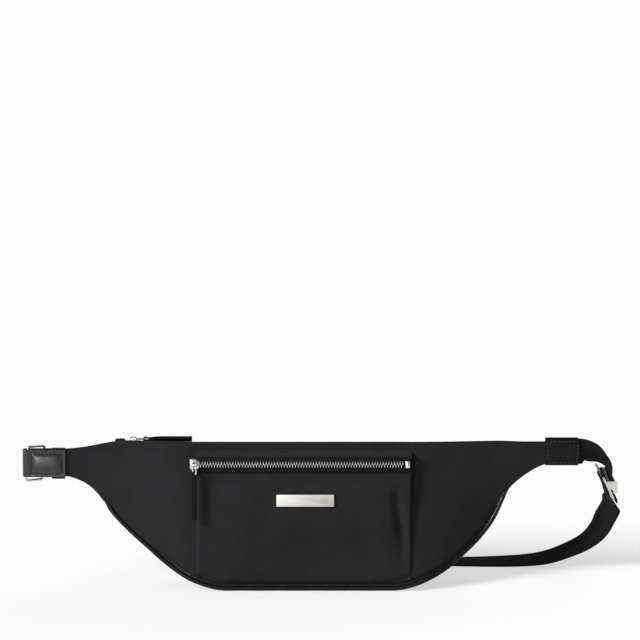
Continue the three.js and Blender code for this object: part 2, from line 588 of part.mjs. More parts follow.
const CLASP_WIDTH = 31;
const CLASP_TOP = -9;
const CLASP_END = 16;
const CLASP_BAR = 3;             // the bar at the lower end, inside the long belt's loop
const CHEEK = 1.2;
const PIN_AT = [0.2, -4.2];      // along T and N
const PIN_RADIUS = 0.8;
const LOOP_TOP = -1.4;           // the long belt turns back here, in the frame's window

// The frame: a plate with a window, and two cheeks behind it that carry the pin and a cross bar.
function makeClasp() {
  const half = CLASP_WIDTH / 2;
  const inside = half - CHEEK;
  const frame = polygon([
    [CLASP_TOP, 1 - half], [CLASP_TOP + 1, -half], [CLASP_END - 1, -half], [CLASP_END, 1 - half],
    [CLASP_END, half - 1], [CLASP_END - 1, half], [CLASP_TOP + 1, half], [CLASP_TOP, half - 1],
  ]);
  frame.holes.push(rectangle(CLASP_TOP + 3.2, -inside, CLASP_END - CLASP_BAR, inside));
  const plate = extrude(frame, 1.8, alongZ(-0.9));
  const cheeks = [-1, 1].map((side) => {
    const cheek = polygon([
      [-3.2, 0.5], [-3.2, -2.4], [0.9, -9.4], [2.2, -9.8], [11.2, -5.4], [9.8, -1.6], [8.4, -2.6], [5.6, -2.2], [4.6, 0.5],
    ]);
    cheek.holes.push(new THREE.Path(circle(...PIN_AT, PIN_RADIUS + GAP / 2)));
    return extrude(cheek, CHEEK, alongY(side > 0 ? half : CHEEK - half));
  });
  const bar = extrude(rectangle(3.2, -8.6, 5.4, -7.4), 2 * half - 1, alongY(half - 0.5));
  add('clasp_frame', join(plate, ...cheeks, bar), nickel, clasp);

  // The jaw swings on the pin, and its bar presses the upper belt against the frame's cross bar.
  const arm = inside - GAP;
  const jaw = polygon([
    [-1.6, -4.6], [-1.4, -3.2], [-0.4, -2.4], [0.8, -2.4], [6, -3.9], [6, -5], [3, -5.6], [0.6, -6.1], [-1, -5.8],
  ]);
  const block = extrude(jaw, 2 * arm, alongY(arm));
  const reach = STRAP_WIDTH / 2 + 0.4;
  const clear = box(-4, -reach, -10, 2.6, reach, 0);
  const lip = box(2, -reach, -10, 8, reach, -5);
  const hole = new THREE.CylinderGeometry(PIN_RADIUS + GAP / 2, PIN_RADIUS + GAP / 2, 40, 12)
    .translate(PIN_AT[0], 0, PIN_AT[1]);
  add('clasp_jaw', cut(block, clear, lip, hole), nickel, clasp);
  const pin = new THREE.CylinderGeometry(PIN_RADIUS, PIN_RADIUS, CLASP_WIDTH, 12).translate(PIN_AT[0], 0, PIN_AT[1]);
  add('clasp_pin', pin, nickel, clasp);
}

// The short upper belt, from the right tab into the clasp.
const upperBelt = [
  [vec(238, WING_Y, RIGHT_TAB_Z), vec(0, 0, 1)],
  [vec(249, WING_Y, RIGHT_TAB_Z), vec(0, 0, 1)],
  [vec(256.9, 18.6, 117.9), vec(0.12, -0.45, 0.88)],
  [vec(263.8, 22.3, 112), vec(0.25, -0.72, 0.62)],
  [vec(269.6, 26.6, 106.2), vec(0.32, -0.88, 0.3)],
  [onClasp(-7, 0, -7.5), claspW],
  [onClasp(0, 0, -6.7), claspW],
  [onClasp(4.4, 0, -6.25), claspW],
  [onClasp(9, 0, -5.9), claspW],
];

// The long belt: from its sewn loop on the ring, down behind the bag, along the ground, and up to the clasp.
const LOOP = 2.2;                 // the belt's layers lie this far from the middle of the clasp's plate
const RING_LOOP = 3.2;           // and round the ring, which needs room to swivel
const BELT_Z = 106;              // the belt rests on the ring's lower side
const level = vec(0, 0, 1);
const halfTurn = (centre, radius, away, side, across) => [-2, -1, 0, 1, 2].map((k) => [
  centre.clone().addScaledVector(away, radius * Math.cos(k * Math.PI / 4))
    .addScaledVector(side, radius * Math.sin(k * Math.PI / 4)), across,
]);
const flat = vec(0, -1, 0);
const longBelt = [
  [vec(-213, RING_FAR.y - 1.2, BELT_Z), level],
  [vec(-227, RING_FAR.y - 1.2, BELT_Z), level],
  ...halfTurn(vec(RING_FAR.x, RING_FAR.y, BELT_Z), RING_LOOP, vec(-1, 0, 0), vec(0, 1, 0), level),
  [vec(-227, RING_FAR.y + 1.2, BELT_Z), level],
  [vec(-213, RING_FAR.y + 1.4, BELT_Z - 0.6), vec(0.08, 0, 1)],
  [vec(-202, 31, 103.3), vec(0.25, -0.05, 0.95)],
  [vec(-186, 38, 94), vec(0.3, -0.1, 0.9)],
  [vec(-166, 49, 79), vec(0.35, -0.25, 0.85)],
  [vec(-145, 60, 58), vec(0.35, -0.5, 0.7)],
  [vec(-121, 69.5, 36), vec(0.25, -0.8, 0.5)],
  [vec(-93, 77, 17), vec(0.1, -0.95, 0.25)],
  [vec(-60, 80.5, 5), vec(0, -1, 0.06)],
  [vec(-25, 80, 1.4), flat],
  [vec(30, 76.5, 1.1), flat],
  [vec(90, 72.5, 1.1), flat],
  [vec(140, 70, 1.3), vec(0, -1, -0.04)],
  [vec(172, 68.5, 1.9), vec(0, -0.99, -0.1)],
  [vec(203, 67.5, 3.6), vec(0.03, -0.985, -0.17)],
  [vec(220, 66.5, 6.5), vec(0.08, -0.96, -0.22)],
  [vec(237, 63.5, 13.2), vec(0.18, -0.92, -0.24)],
  [vec(253.8, 59.5, 22.8), vec(0.32, -0.87, -0.22)],
  [vec(265.5, 54, 35.2), vec(0.58, -0.79, -0.1)],
  [vec(272.5, 48, 49.3), vec(0.7, -0.7, 0.03)],
  [vec(277.5, 42.2, 62), vec(0.6, -0.79, 0)],
  [onClasp(CLASP_END + 7, 0, LOOP + 0.6), vec(0.36, -0.92, -0.12)],
  [onClasp(CLASP_END - 1.5, 0, LOOP + 0.3), claspW],
  [onClasp(7, 0, LOOP - 0.4), claspW],
  ...halfTurn(onClasp(LOOP_TOP, 0, 0), LOOP - 0.5, claspT.clone().negate(), claspN.clone().negate(), claspW),
  [onClasp(7, 0, 0.4 - LOOP), claspW],
  [onClasp(CLASP_END - 1.5, 0, -LOOP), claspW],
  [onClasp(CLASP_END + 7, 0, 0.8 - LOOP), claspW],
];

function makeBelt() {
  add('belt_upper', ribbon(stationsThrough(upperBelt, 20), STRAP_WIDTH, STRAP_THICK), webbing);
  add('belt_long', ribbon(stationsThrough(longBelt, 110), STRAP_WIDTH, STRAP_THICK), webbing);
}

// A leather sleeve that holds the sewn end of the belt's loop beside the ring.
const KEEPER_X = [-228, -216];
function makeKeeper() {
  const [width, depth] = [STRAP_WIDTH + 1, 2 * STRAP_THICK + 1.8];
  const shape = rounded(depth + 2 * LEATHER, width + 2 * LEATHER, 1.6);
  shape.holes.push(rounded(depth, width, 0.4));
  const sleeve = extrude(shape, KEEPER_X[1] - KEEPER_X[0], alongX(0));
  const keeper = add('belt_keeper', sleeve, leather);
  keeper.position.set(KEEPER_X[0], RING_FAR.y, BELT_Z);
}

makeShell();
makeGusset();
makePiping();
makeLining();
makeMainZip();
makeZipCaps();
makeWingStrips();
makePocket();
makePocketZip();
makeLeftTab();
makeRing();
makeRightTab();
makeClasp();
makeBelt();
makeKeeper();

export default bag;
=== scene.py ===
"""The looks of the belt bag, built round its CAD frame. Sizes are in millimetres until a mesh is made."""

import math

import bmesh
import bpy
import numpy as np
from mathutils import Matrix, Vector


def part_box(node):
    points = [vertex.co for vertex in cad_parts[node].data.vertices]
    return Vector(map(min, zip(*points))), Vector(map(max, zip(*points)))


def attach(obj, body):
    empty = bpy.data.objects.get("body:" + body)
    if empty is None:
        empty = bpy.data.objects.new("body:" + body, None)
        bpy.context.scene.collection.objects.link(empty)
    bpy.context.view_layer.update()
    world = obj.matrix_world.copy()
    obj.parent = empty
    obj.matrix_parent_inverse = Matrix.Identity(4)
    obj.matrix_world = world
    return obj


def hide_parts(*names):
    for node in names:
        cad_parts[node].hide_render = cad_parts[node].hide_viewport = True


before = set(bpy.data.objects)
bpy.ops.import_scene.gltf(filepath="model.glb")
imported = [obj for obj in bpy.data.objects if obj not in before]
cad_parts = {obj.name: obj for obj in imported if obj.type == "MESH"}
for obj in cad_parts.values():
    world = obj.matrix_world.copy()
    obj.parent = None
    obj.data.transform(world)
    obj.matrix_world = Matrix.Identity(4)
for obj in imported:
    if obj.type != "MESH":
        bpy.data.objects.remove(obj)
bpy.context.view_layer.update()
scene = bpy.context.scene
MM = 0.001

# ---- The body's driving dimensions, as in the CAD part ----
BASE_DEPTH = 44
FRONT_LEAN = math.tan(math.radians(11))
BACK_LEAN = math.tan(math.radians(4))
FABRIC = 1.2
TOP_HEIGHT = 131
TOP_DROP = 6.6                   # the back panel's top edge is this much lower
WING_Y = 17
TONGUE_DEPTH = 3.6
TONGUE_END = 236
FLAT_HALF = 100
WING_START = 210
PIPING_RADIUS = 2.2
PIPING_REACH = 184
STRAP_WIDTH = 24
STRAP_THICK = 1.8
LEATHER = 1.5
TOOTH_PITCH = 2.5

# Knots of the panels' lower outline, as X, Z.
OUTLINE = [
    (-TONGUE_END, 98), (-217, 97.8), (-204, 94), (-194, 88.6), (-184, 78.6), (-175, 64.5), (-158, 47.9),
    (-140.5, 34), (-122.9, 20.4), (-104.9, 9.3), (-87, 2.6), (-72, 0), (-36, 0), (36, 0), (80, 0),
    (94.5, 2.2), (109.6, 7.4), (128.5, 17), (143.6, 28.6), (159, 42.2), (172, 59), (180, 76), (185, 87),
    (216, 108), (TONGUE_END, 108),
]


def vec(*values):
    return np.array(values, float)


def unit(v):
    v = np.asarray(v, float)
    return v / np.linalg.norm(v, axis=-1, keepdims=True)


def smoothstep(t, low, high):
    t = np.clip((t - low) / (high - low), 0, 1)
    return t * t * (3 - 2 * t)


def lerp(a, b, t):
    return a + (b - a) * t


def joined(*coordinates):
    """Points or cloth coordinates, each coordinate broadcast to the others."""
    return np.stack(np.broadcast_arrays(*coordinates), axis=-1)


def run_length(points):
    """The distance along a row of points to each of them."""
    return np.concatenate([[0], np.cumsum(np.linalg.norm(np.diff(points, axis=0), axis=1))])


def closed_loop(points):
    """A row of points with the first one again at its end."""
    return np.concatenate([points, points[:1]])


def box_of(node):
    """The lowest and highest corners of a CAD node, in millimetres."""
    low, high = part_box(node)
    return np.array(low) / MM, np.array(high) / MM


# ---- Camera, floor and light ----
def link_object(name, data):
    made = bpy.data.objects.new(name, data)
    scene.collection.objects.link(made)
    return made


def make_camera():
    distance = 6.0
    bag_behind_target = 0.044
    width_seen = 0.576 * distance / (distance + bag_behind_target)
    elevation = math.radians(14)
    target = Vector((0.01395, 0, 0.2459))
    forward = Vector((0, math.cos(elevation), -math.sin(elevation)))
    data = bpy.data.cameras.new("camera")
    data.lens = data.sensor_width * distance / width_seen
    camera = link_object("camera", data)
    camera.location = target - forward * distance
    camera.rotation_mode = "QUATERNION"
    camera.rotation_quaternion = forward.to_track_quat("-Z", "Y")
    scene.camera = camera


def make_stage():
    scene.view_settings.view_transform = "Standard"
    mesh = bpy.data.meshes.new("floor")
    reach = 30
    corners = [(-reach, -reach, 0), (reach, -reach, 0), (reach, reach, 0), (-reach, reach, 0)]
    mesh.from_pydata(corners, [], [(0, 1, 2, 3)])
    white = (1, 1, 1, 1)
    paper = Finish("floor", Base_Color=(0.3, 0.3, 0.3, 1), Roughness=0.9, Specular_IOR_Level=0.1,
                   Emission_Color=white, Emission_Strength=0.57)
    mesh.materials.append(paper.material)
    floor = link_object("floor", mesh)

    world = bpy.data.worlds.new("studio")
    world.use_nodes = True
    sky = world.node_tree.nodes["Background"].inputs
    sky["Color"].default_value = white
    sky["Strength"].default_value = 0.28
    scene.world = world
    add_light("key", "SUN", (-1.0, -0.60, 0.70), energy=5.4, angle=math.radians(22))
    add_light("back", "SUN", (0.6, 0.8, 0.7), energy=0.8, angle=math.radians(40))
    # The softbox is there for its reflection in the leather and the metal.
    add_light("softbox", "AREA", (-2.2, -7.5, 1.0), shape="SQUARE", size=1.6, energy=150)


def add_light(name, kind, place, **settings):
    """A light at place, in metres, aimed at the foot of the bag."""
    data = bpy.data.lights.new(name, kind)
    for key, value in settings.items():
        setattr(data, key, value)
    light = link_object(name, data)
    light.location = place
    light.rotation_mode = "QUATERNION"
    light.rotation_quaternion = Vector(place).to_track_quat("Z", "Y")


# ---- Materials ----
class Finish:
    """A Principled material built node by node. Its patterns are measured in millimetres."""

    def __init__(self, name, **sockets):
        self.material = bpy.data.materials.new(name)
        self.material.use_nodes = True
        self.tree = self.material.node_tree
        self.shader = self.tree.nodes["Principled BSDF"]
        for socket, value in sockets.items():
            self.shader.inputs[socket.replace("_", " ")].default_value = value

    def node(self, kind, inputs=None, **properties):
        made = self.tree.nodes.new("ShaderNode" + kind)
        for key, value in properties.items():
            setattr(made, key, value)
        for key, value in (inputs or {}).items():
            if isinstance(value, bpy.types.NodeSocket):
                self.tree.links.new(value, made.inputs[key])
            else:
                made.inputs[key].default_value = value
        return made

    def math(self, operation, a, b=0.0):
        return self.node("Math", {0: a, 1: b}, operation=operation).outputs[0]

    def cloth(self):
        """The piece's own flat coordinates, in millimetres."""
        return self.node("Attribute", attribute_name="cloth").outputs["Vector"]

    def place(self):
        """Where a point is on the object, in millimetres."""
        spot = self.node("TexCoord").outputs["Object"]
        return self.node("VectorMath", {0: spot, "Scale": 1 / MM}, operation="SCALE").outputs["Vector"]

    def noise(self, vector, size, detail=2.0):
        """Noise from 0 to 1 whose features are about size millimetres across."""
        return self.node("TexNoise", {"Vector": vector, "Scale": 1 / size, "Detail": detail}).outputs["Fac"]

    def ramp(self, factor, dark, light, low=0.3, high=0.7):
        node = self.node("ValToRGB", {"Fac": factor})
        node.color_ramp.elements[0].position = low
        node.color_ramp.elements[1].position = high
        node.color_ramp.elements[0].color = (*dark, 1)
        node.color_ramp.elements[1].color = (*light, 1)
        return node.outputs["Color"]

    def remap(self, factor, low, high):
        return self.node("MapRange", {"Value": factor, "To Min": low, "To Max": high}).outputs["Result"]

    def bump(self, height, depth, normal=None):
        inputs = {"Height": height, "Distance": depth * MM, "Strength": 1.0}
        if normal is not None:
            inputs["Normal"] = normal
        return self.node("Bump", inputs).outputs["Normal"]

    def use(self, socket, output):
        self.tree.links.new(output, self.shader.inputs[socket])


def plain_weave(finish, cloth, thread):
    """The height of a plain weave: threads pass over and under each other in turn."""
    split = finish.node("SeparateXYZ", {0: cloth})
    waves = [finish.math("SINE", finish.math("MULTIPLY", split.outputs[i], math.pi / thread)) for i in (0, 1)]
    over = finish.math("GREATER_THAN", finish.math("MULTIPLY", *waves), 0.0)
    warp = finish.math("MULTIPLY", finish.math("ABSOLUTE", waves[0]), over)
    weft = finish.math("MULTIPLY", finish.math("ABSOLUTE", waves[1]), finish.math("SUBTRACT", 1.0, over))
    return finish.math("ADD", warp, weft)


def herringbone(finish, cloth, rib, zig):
    """The height of a twill whose ribs turn back every zig millimetres across the strap."""
    split = finish.node("SeparateXYZ", {0: cloth})
    across = finish.math("PINGPONG", split.outputs[1], zig)
    slanted = finish.math("ADD", split.outputs[0], finish.math("MULTIPLY", across, 0.9))
    return finish.math("SINE", finish.math("MULTIPLY", slanted, 2 * math.pi / rib))


def cloth_finish(name, dark, light, pattern, depth, roughness, sheen=0.03, specular=0.06):
    finish = Finish(name, Specular_IOR_Level=specular, Sheen_Weight=sheen, Sheen_Roughness=0.45)
    cloth, place = finish.cloth(), finish.place()
    height = pattern(finish, cloth)
    speckle = finish.math("MULTIPLY", finish.noise(place, 1.6, 3), 0.35)
    cloudy = finish.math("ADD", finish.noise(place, 38), speckle)
    shade = finish.math("ADD", cloudy, finish.math("MULTIPLY", height, 0.12))
    finish.use("Base Color", finish.ramp(shade, dark, light, 0.45, 1.05))
    finish.use("Roughness", finish.remap(finish.noise(place, 9), roughness - 0.06, roughness + 0.06))
    soft = finish.bump(finish.noise(place, 2.4, 3), 0.05)
    finish.use("Normal", finish.bump(height, depth, soft))
    return finish.material


def leather_finish(name, dark, light, roughness, specular, coat):
    finish = Finish(name, Specular_IOR_Level=specular, Coat_Weight=coat, Coat_Roughness=0.2)
    place = finish.place()
    cells = finish.node("TexVoronoi", {"Vector": place, "Scale": 1 / 0.9, "Randomness": 1.0})
    creases = finish.noise(place, 4, 4)
    # Pointiness makes the colour lighter on convex edges and darker in grooves and hollows, where shade
    # falls: painted shade.
    light_edges_shaded_hollows = finish.node("NewGeometry").outputs["Pointiness"]
    mottle_edge_light_and_hollow_shade = finish.math("ADD", creases, finish.math("MULTIPLY", finish.math("SUBTRACT", light_edges_shaded_hollows, 0.5), 3.0))
    finish.use("Base Color", finish.ramp(mottle_edge_light_and_hollow_shade, dark, light, 0.3, 0.8))
    finish.use("Roughness", finish.remap(finish.noise(place, 6), roughness - 0.07, roughness + 0.1))
    finish.use("Normal", finish.bump(cells.outputs["Distance"], 0.05, finish.bump(creases, 0.12)))
    return finish.material


def metal_finish(name, dark, light, roughness, grain=(0.02, 1.0, 1.0)):
    """Metal with faint polishing lines along X."""
    finish = Finish(name, Metallic=1.0)
    place = finish.place()
    streaked = finish.node("VectorMath", {0: place, 1: grain}, operation="MULTIPLY").outputs["Vector"]
    lines = finish.noise(streaked, 0.35, 3)
    finish.use("Base Color", finish.ramp(finish.noise(place, 14), dark, light))
    finish.use("Roughness", finish.remap(lines, roughness - 0.05, roughness + 0.09))
    finish.use("Normal", finish.bump(lines, 0.006))
    return finish.material


def make_materials():
    weave = lambda finish, cloth: plain_weave(finish, cloth, 0.42)
    chevron = lambda finish, cloth: herringbone(finish, cloth, 2.1, 6.0)
    fine_chevron = lambda finish, cloth: herringbone(finish, cloth, 1.1, 2.4)
    table = (
        ("nylon_shell", cloth_finish, (0.0076, 0.0077, 0.0083), (0.0122, 0.0124, 0.0136), weave, 0.05, 0.62),
        ("lining", cloth_finish, (0.02,) * 3, (0.03, 0.03, 0.034), weave, 0.04, 0.5),
        ("zip_tape", cloth_finish, (0.004,) * 3, (0.0075,) * 3, fine_chevron, 0.09, 0.75),
        ("belt_webbing", cloth_finish, (0.003,) * 3, (0.0072,) * 3, chevron, 0.2, 0.72, 0.01, 0.05),
        ("thread", cloth_finish, (0.013, 0.013, 0.015), (0.022, 0.022, 0.026), fine_chevron,
         0.05, 0.6, 0.0, 0.03),
        ("tab_thread", cloth_finish, (0.022,) * 3, (0.04,) * 3, fine_chevron, 0.05, 0.5, 0.0, 0.15),
        ("leather_trim", leather_finish, (0.0018,) * 3, (0.0045, 0.0045, 0.0043), 0.3, 0.12, 0.0),
        ("leather_polished", leather_finish, (0.003,) * 3, (0.007,) * 3, 0.34, 0.5, 0.25),
        ("leather_piping", leather_finish, (0.002,) * 3, (0.005,) * 3, 0.27, 0.16, 0.0),
        ("zip_teeth", metal_finish, (0.70, 0.66, 0.61), (0.88, 0.84, 0.79), 0.22, (1, 1, 1)),
        ("nickel_hardware", metal_finish, (0.56, 0.54, 0.515), (0.72, 0.695, 0.67), 0.2, (1, 1, 0.05)),
        ("plate_metal", metal_finish, (0.485, 0.455, 0.43), (0.55, 0.52, 0.495), 0.56),
    )
    return {name: make(name, *looks) for name, make, *looks in table}


# ---- Meshes ----
class Solid:
    """Points, faces and cloth coordinates gathered from one or more closed parts."""

    def __init__(self):
        self.points = []
        self.faces = []
        self.cloth = []

    def add(self, points, faces, cloth=None):
        base = len(self.points)
        points = np.asarray(points, float)
        flat = points if cloth is None else np.asarray(cloth, float)
        if flat.shape[1] == 2:
            flat = np.column_stack([flat, np.zeros(len(flat))])
        self.points.extend(points.tolist())
        self.cloth.extend(flat.tolist())
        self.faces.extend([tuple(i + base for i in face) for face in faces])
        return self

    def moved(self, basis, origin):
        """The same solid in the frame whose axes are basis's rows and whose origin is origin."""
        self.points = (np.array(self.points) @ np.array(basis, float) + np.array(origin, float)).tolist()
        return self

    def piece(self, name, slot, replaces=(), material=None, body="bag", crease=42):
        mesh = bpy.data.meshes.new(name)
        mesh.from_pydata([tuple(c * MM for c in p) for p in self.points], [], self.faces)
        attribute = mesh.attributes.new("cloth", "FLOAT_VECTOR", "POINT")
        attribute.data.foreach_set("vector", np.array(self.cloth, np.float32).ravel())
        editable = bmesh.new()
        editable.from_mesh(mesh)
        bmesh.ops.recalc_face_normals(editable, faces=editable.faces)
        editable.to_mesh(mesh)
        editable.free()
        mesh.materials.append(materials[material or slot])
        mesh.shade_smooth()
        mesh.set_sharp_from_angle(angle=math.radians(crease))
        piece = link_object(name, mesh)
        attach(piece, body)
        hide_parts(*replaces)
        return piece


def shell(grid, offset, cloth):
    """A closed sheet: grid[i][j] is one face of it, and grid + offset the other."""
    grid = np.asarray(grid, float)
    points = np.concatenate([grid.reshape(-1, 3), (grid + offset).reshape(-1, 3)])
    at = np.arange(len(points)).reshape(2, *grid.shape[:2])
    quads = lambda *corners: joined(*corners).reshape(-1, 4).tolist()
    faces = quads(at[0, :-1, :-1], at[0, 1:, :-1], at[0, 1:, 1:], at[0, :-1, 1:])
    faces += quads(at[1, :-1, :-1], at[1, :-1, 1:], at[1, 1:, 1:], at[1, 1:, :-1])
    for edge in (0, -1):
        faces += quads(at[0, :-1, edge], at[1, :-1, edge], at[1, 1:, edge], at[0, 1:, edge])
        faces += quads(at[0, edge, :-1], at[0, edge, 1:], at[1, edge, 1:], at[1, edge, :-1])
    flat = np.asarray(cloth, float).reshape(-1, 2)
    return points, faces, np.concatenate([flat, flat])


def normals_of(grid):
    """Unit normals of a grid of points."""
    return unit(np.cross(np.gradient(grid, axis=0), np.gradient(grid, axis=1)))


def tube_faces(rings, corners, closed=False):
    """Faces between rings of corners, with a cap at each end unless the last ring joins the first."""
    faces = []
    for i in range(rings if closed else rings - 1):
        a, b = i * corners, (i + 1) % rings * corners
        for k in range(corners):
            n = (k + 1) % corners
            faces.append((a + k, a + n, b + n, b + k))
    if not closed:
        faces.append(tuple(range(corners - 1, -1, -1)))
        faces.append(tuple((rings - 1) * corners + k for k in range(corners)))
    return faces


def sweep(centres, across, out, section, closed=False, scale=None, relief=None):
    """A section of (across, out) points swept along centres. relief(points, side) is added along out."""
    centres, section = np.asarray(centres, float), np.asarray(section, float)
    across, out = (np.broadcast_to(np.asarray(v, float), centres.shape) for v in (across, out))
    stations, corners = len(centres), len(section)
    scale = np.ones(stations) if scale is None else np.asarray(scale)
    rings = (centres[:, None] + scale[:, None, None] * (
        across[:, None] * section[None, :, :1] + out[:, None] * section[None, :, 1:]))
    if relief is not None:
        rings = rings + out[:, None] * relief(rings, np.sign(section[None, :, 1]))[..., None]
    cloth = joined(run_length(centres)[:, None], section[None, :, 0]).reshape(-1, 2)
    return rings.reshape(-1, 3), tube_faces(stations, corners, closed), cloth


def strap_section(width, thick, per_side=9):
    """A flat strap's section with rounded edges."""
    half, edge = width / 2, thick / 2
    flat = np.linspace(-half + edge, half - edge, per_side)
    turn = np.radians([-60, -30, 0, 30, 60])
    right = [(half - edge + edge * math.cos(a), edge * math.sin(a)) for a in turn]
    left = [(-x, -y) for x, y in right]
    return [(x, -edge) for x in flat] + right + [(x, edge) for x in flat[::-1]] + left


def circle_section(radius, sides=12):
    turn = np.arange(sides) * 2 * math.pi / sides
    return np.column_stack([radius * np.cos(turn), radius * np.sin(turn)])


def rounded_outline(width, height, radius, steps=5):
    """A rectangle with round corners, as X, Y."""
    corners = [(1, 1, 0), (-1, 1, 90), (-1, -1, 180), (1, -1, 270)]
    points = []
    for x, y, start in corners:
        centre = vec(x * (width / 2 - radius), y * (height / 2 - radius))
        for a in np.radians(np.linspace(start, start + 90, steps)):
            points.append(centre + vec(math.cos(a), math.sin(a)) * radius)
    return np.array(points)


def inset_outline(outline, distance):
    """The outline with every side moved in by distance."""
    before = unit(outline - np.roll(outline, 1, axis=0))
    after = unit(np.roll(outline, -1, axis=0) - outline)
    normal = lambda d: np.column_stack([-d[:, 1], d[:, 0]])
    both = unit(normal(before) + normal(after))
    stretch = 1 / np.clip(np.sum(both * normal(after), axis=1), 0.4, 1)
    return outline + both * (distance * stretch)[:, None]


def stack(outline, layers):
    """A solid of level copies of an outline: layers are (height, inset)."""
    count = len(outline)
    rings = [np.column_stack([inset_outline(outline, inset), np.full(count, z)]) for z, inset in layers]
    points = np.concatenate(rings)
    return points, tube_faces(len(layers), count), points[:, :2]


def bevelled(low, high, bevel):
    """Layers for stack: from low to high with rounded rims."""
    return [(low, bevel), (low + 0.3 * bevel, 0.3 * bevel), (low + bevel, 0),
            (high - bevel, 0), (high - 0.3 * bevel, 0.3 * bevel), (high, bevel)]


def add_stitches(solid, path, normal, length=2.3, pitch=3.6, radius=0.42):
    """A row of thread stitches along a path of points, proud of the surface whose normal is given."""
    path = np.asarray(path, float)
    normal = unit(np.broadcast_to(np.asarray(normal, float), path.shape))
    along = run_length(path)
    at = lambda s: vec(*[np.interp(s, along, path[:, k]) for k in range(3)])
    facing = lambda s: unit(vec(*[np.interp(s, along, normal[:, k]) for k in range(3)]))
    share = vec(0, 0.18, 0.5, 0.82, 1)
    width = vec(0.45, 0.95, 1, 0.95, 0.45)
    lift = vec(-0.6, 0.1, 0.45, 0.1, -0.6)
    section = circle_section(radius, 6)
    for start in np.arange(0.4, along[-1] - length, pitch):
        first, last, up = at(start), at(start + length), facing(start + length / 2)
        side = unit(np.cross(last - first, up))
        centres = first + share[:, None] * (last - first) + lift[:, None] * up * radius
        solid.add(*sweep(centres, side, up, section, scale=width))
    return solid


def smooth_curve(knots, per_span=12):
    """A centripetal Catmull-Rom curve through the knots."""
    knots = np.asarray(knots, float)
    ends = [2 * knots[0] - knots[1], *knots, 2 * knots[-1] - knots[-2]]
    result = []
    for p0, p1, p2, p3 in zip(ends, ends[1:], ends[2:], ends[3:]):
        d0, d1, d2 = (math.sqrt(np.linalg.norm(b - a)) for a, b in ((p0, p1), (p1, p2), (p2, p3)))
        leave = ((p1 - p0) / d0 - (p2 - p0) / (d0 + d1) + (p2 - p1) / d1) * d1
        arrive = ((p2 - p1) / d1 - (p3 - p1) / (d1 + d2) + (p3 - p2) / d2) * d1
        for t in np.arange(per_span) / per_span:
            result.append(p1 * (2 * t**3 - 3 * t**2 + 1) + leave * (t**3 - 2 * t**2 + t)
                          + p2 * (3 * t**2 - 2 * t**3) + arrive * (t**3 - t**2))
    result.append(knots[-1])
    return np.array(result)


def spaced(curve, count):
    """count points at equal steps along a curve."""
    along = run_length(curve)
    marks = np.linspace(0, along[-1], count)
    return np.column_stack([np.interp(marks, along, curve[:, k]) for k in range(curve.shape[1])])


# ---- The body's surfaces ----
def wing_blend(x):
    return smoothstep(np.abs(x), FLAT_HALF, WING_START)


def front_y(x, z):
    return lerp(-BASE_DEPTH / 2 + z * FRONT_LEAN, WING_Y - TONGUE_DEPTH / 2, wing_blend(x))


def back_y(x, z):
    return lerp(BASE_DEPTH / 2 + z * BACK_LEAN, WING_Y + TONGUE_DEPTH / 2, wing_blend(x))


def front_top(x):
    return TOP_HEIGHT - np.where(x < 0, 8.4 * smoothstep(-x, 150, 220), 1.6 * wing_blend(x))


def back_top(x):
    return front_top(x) - lerp(TOP_DROP, 1, wing_blend(x))


def front_hem(x):
    """The front panel's top edge, whose doubled hem stands up in front of the zip."""
    return front_top(x) + 1.1 * (1 - smoothstep(np.abs(x), 172, 200))


def ripple(x, z):
    """The small unevenness of filled nylon cloth."""
    return (0.5 * np.sin(x / 37 + z / 51 + 0.7) + 0.3 * np.sin(x / 19 - z / 27 + 2.1)
            + 0.12 * np.sin(x / 8.3 + z / 12.1) * np.sin(z / 17 + 1.3))


def outline_stations(count, reach=TONGUE_END):
    """Points of the lower outline as X, Z, and their inward normals."""
    curve = np.array(smooth_curve(OUTLINE, 24))
    curve[:, 1] = np.maximum(curve[:, 1], 0)
    curve = curve[np.abs(curve[:, 0]) <= reach + 0.01]
    points = spaced(curve, count)
    ahead = unit(np.gradient(points, axis=0))
    return points, np.column_stack([-ahead[:, 1], ahead[:, 0]])


def panel_surface(x, z, side):
    return front_y(x, z) if side < 0 else back_y(x, z)


def panel_top(x, side):
    return front_hem(x) if side < 0 else back_top(x)


def seam_inset(x):
    return 5 * (1 - smoothstep(np.abs(x), PIPING_REACH - 10, PIPING_REACH - 1))


def panel_relief(x, z, low, top, crown):
    """How far a panel stands out: a crown, a tucked lower seam and a doubled top hem."""
    share = (z - low) / (top - low)
    body = 1 - wing_blend(x)
    bulge = np.sin(math.pi * np.clip(share, 0, 1))
    puffed = crown * bulge ** 0.8 * body
    tucked = -1.5 * (1 - smoothstep(z - low, 0, 6)) * body
    hem = 0.35 * smoothstep(z - top, -6.4, -5.4)
    return puffed + tucked + hem + ripple(x, z) * bulge * lerp(0.25, 1, body)


def panel_point(x, z, side, low=0.0):
    """A point of the front (side -1) or back (side 1) panel."""
    y = panel_surface(x, z, side) + side * panel_relief(x, z, low, panel_top(x, side), 3.4)
    return joined(x, y, z)


def make_panel(face, side):
    points, inward = outline_stations(230)
    points = points + inward * seam_inset(points[:, 0])[:, None]
    x, low = points[:, 0], points[:, 1]
    top = panel_top(x, side)
    rows = 0.5 - 0.5 * np.cos(math.pi * np.linspace(0, 1, 44))
    z = low[:, None] + (top - low)[:, None] * rows[None]
    grid = panel_point(x[:, None], z, side, low[:, None])
    solid = Solid().add(*shell(grid, vec(0, -side * FABRIC, 0), grid[..., [0, 2]]))
    solid.piece(face + "_panel_cloth", "nylon_shell", [face + "_panel"])


def make_hem_stitches(face, side):
    x = np.linspace(-213, 213, 220)
    path = panel_point(x, panel_top(x, side) - 3.2, side)
    solid = add_stitches(Solid(), path, vec(0, side, 0.05), radius=0.36)
    solid.piece(face + "_hem_stitches", "nylon_shell", material="thread")


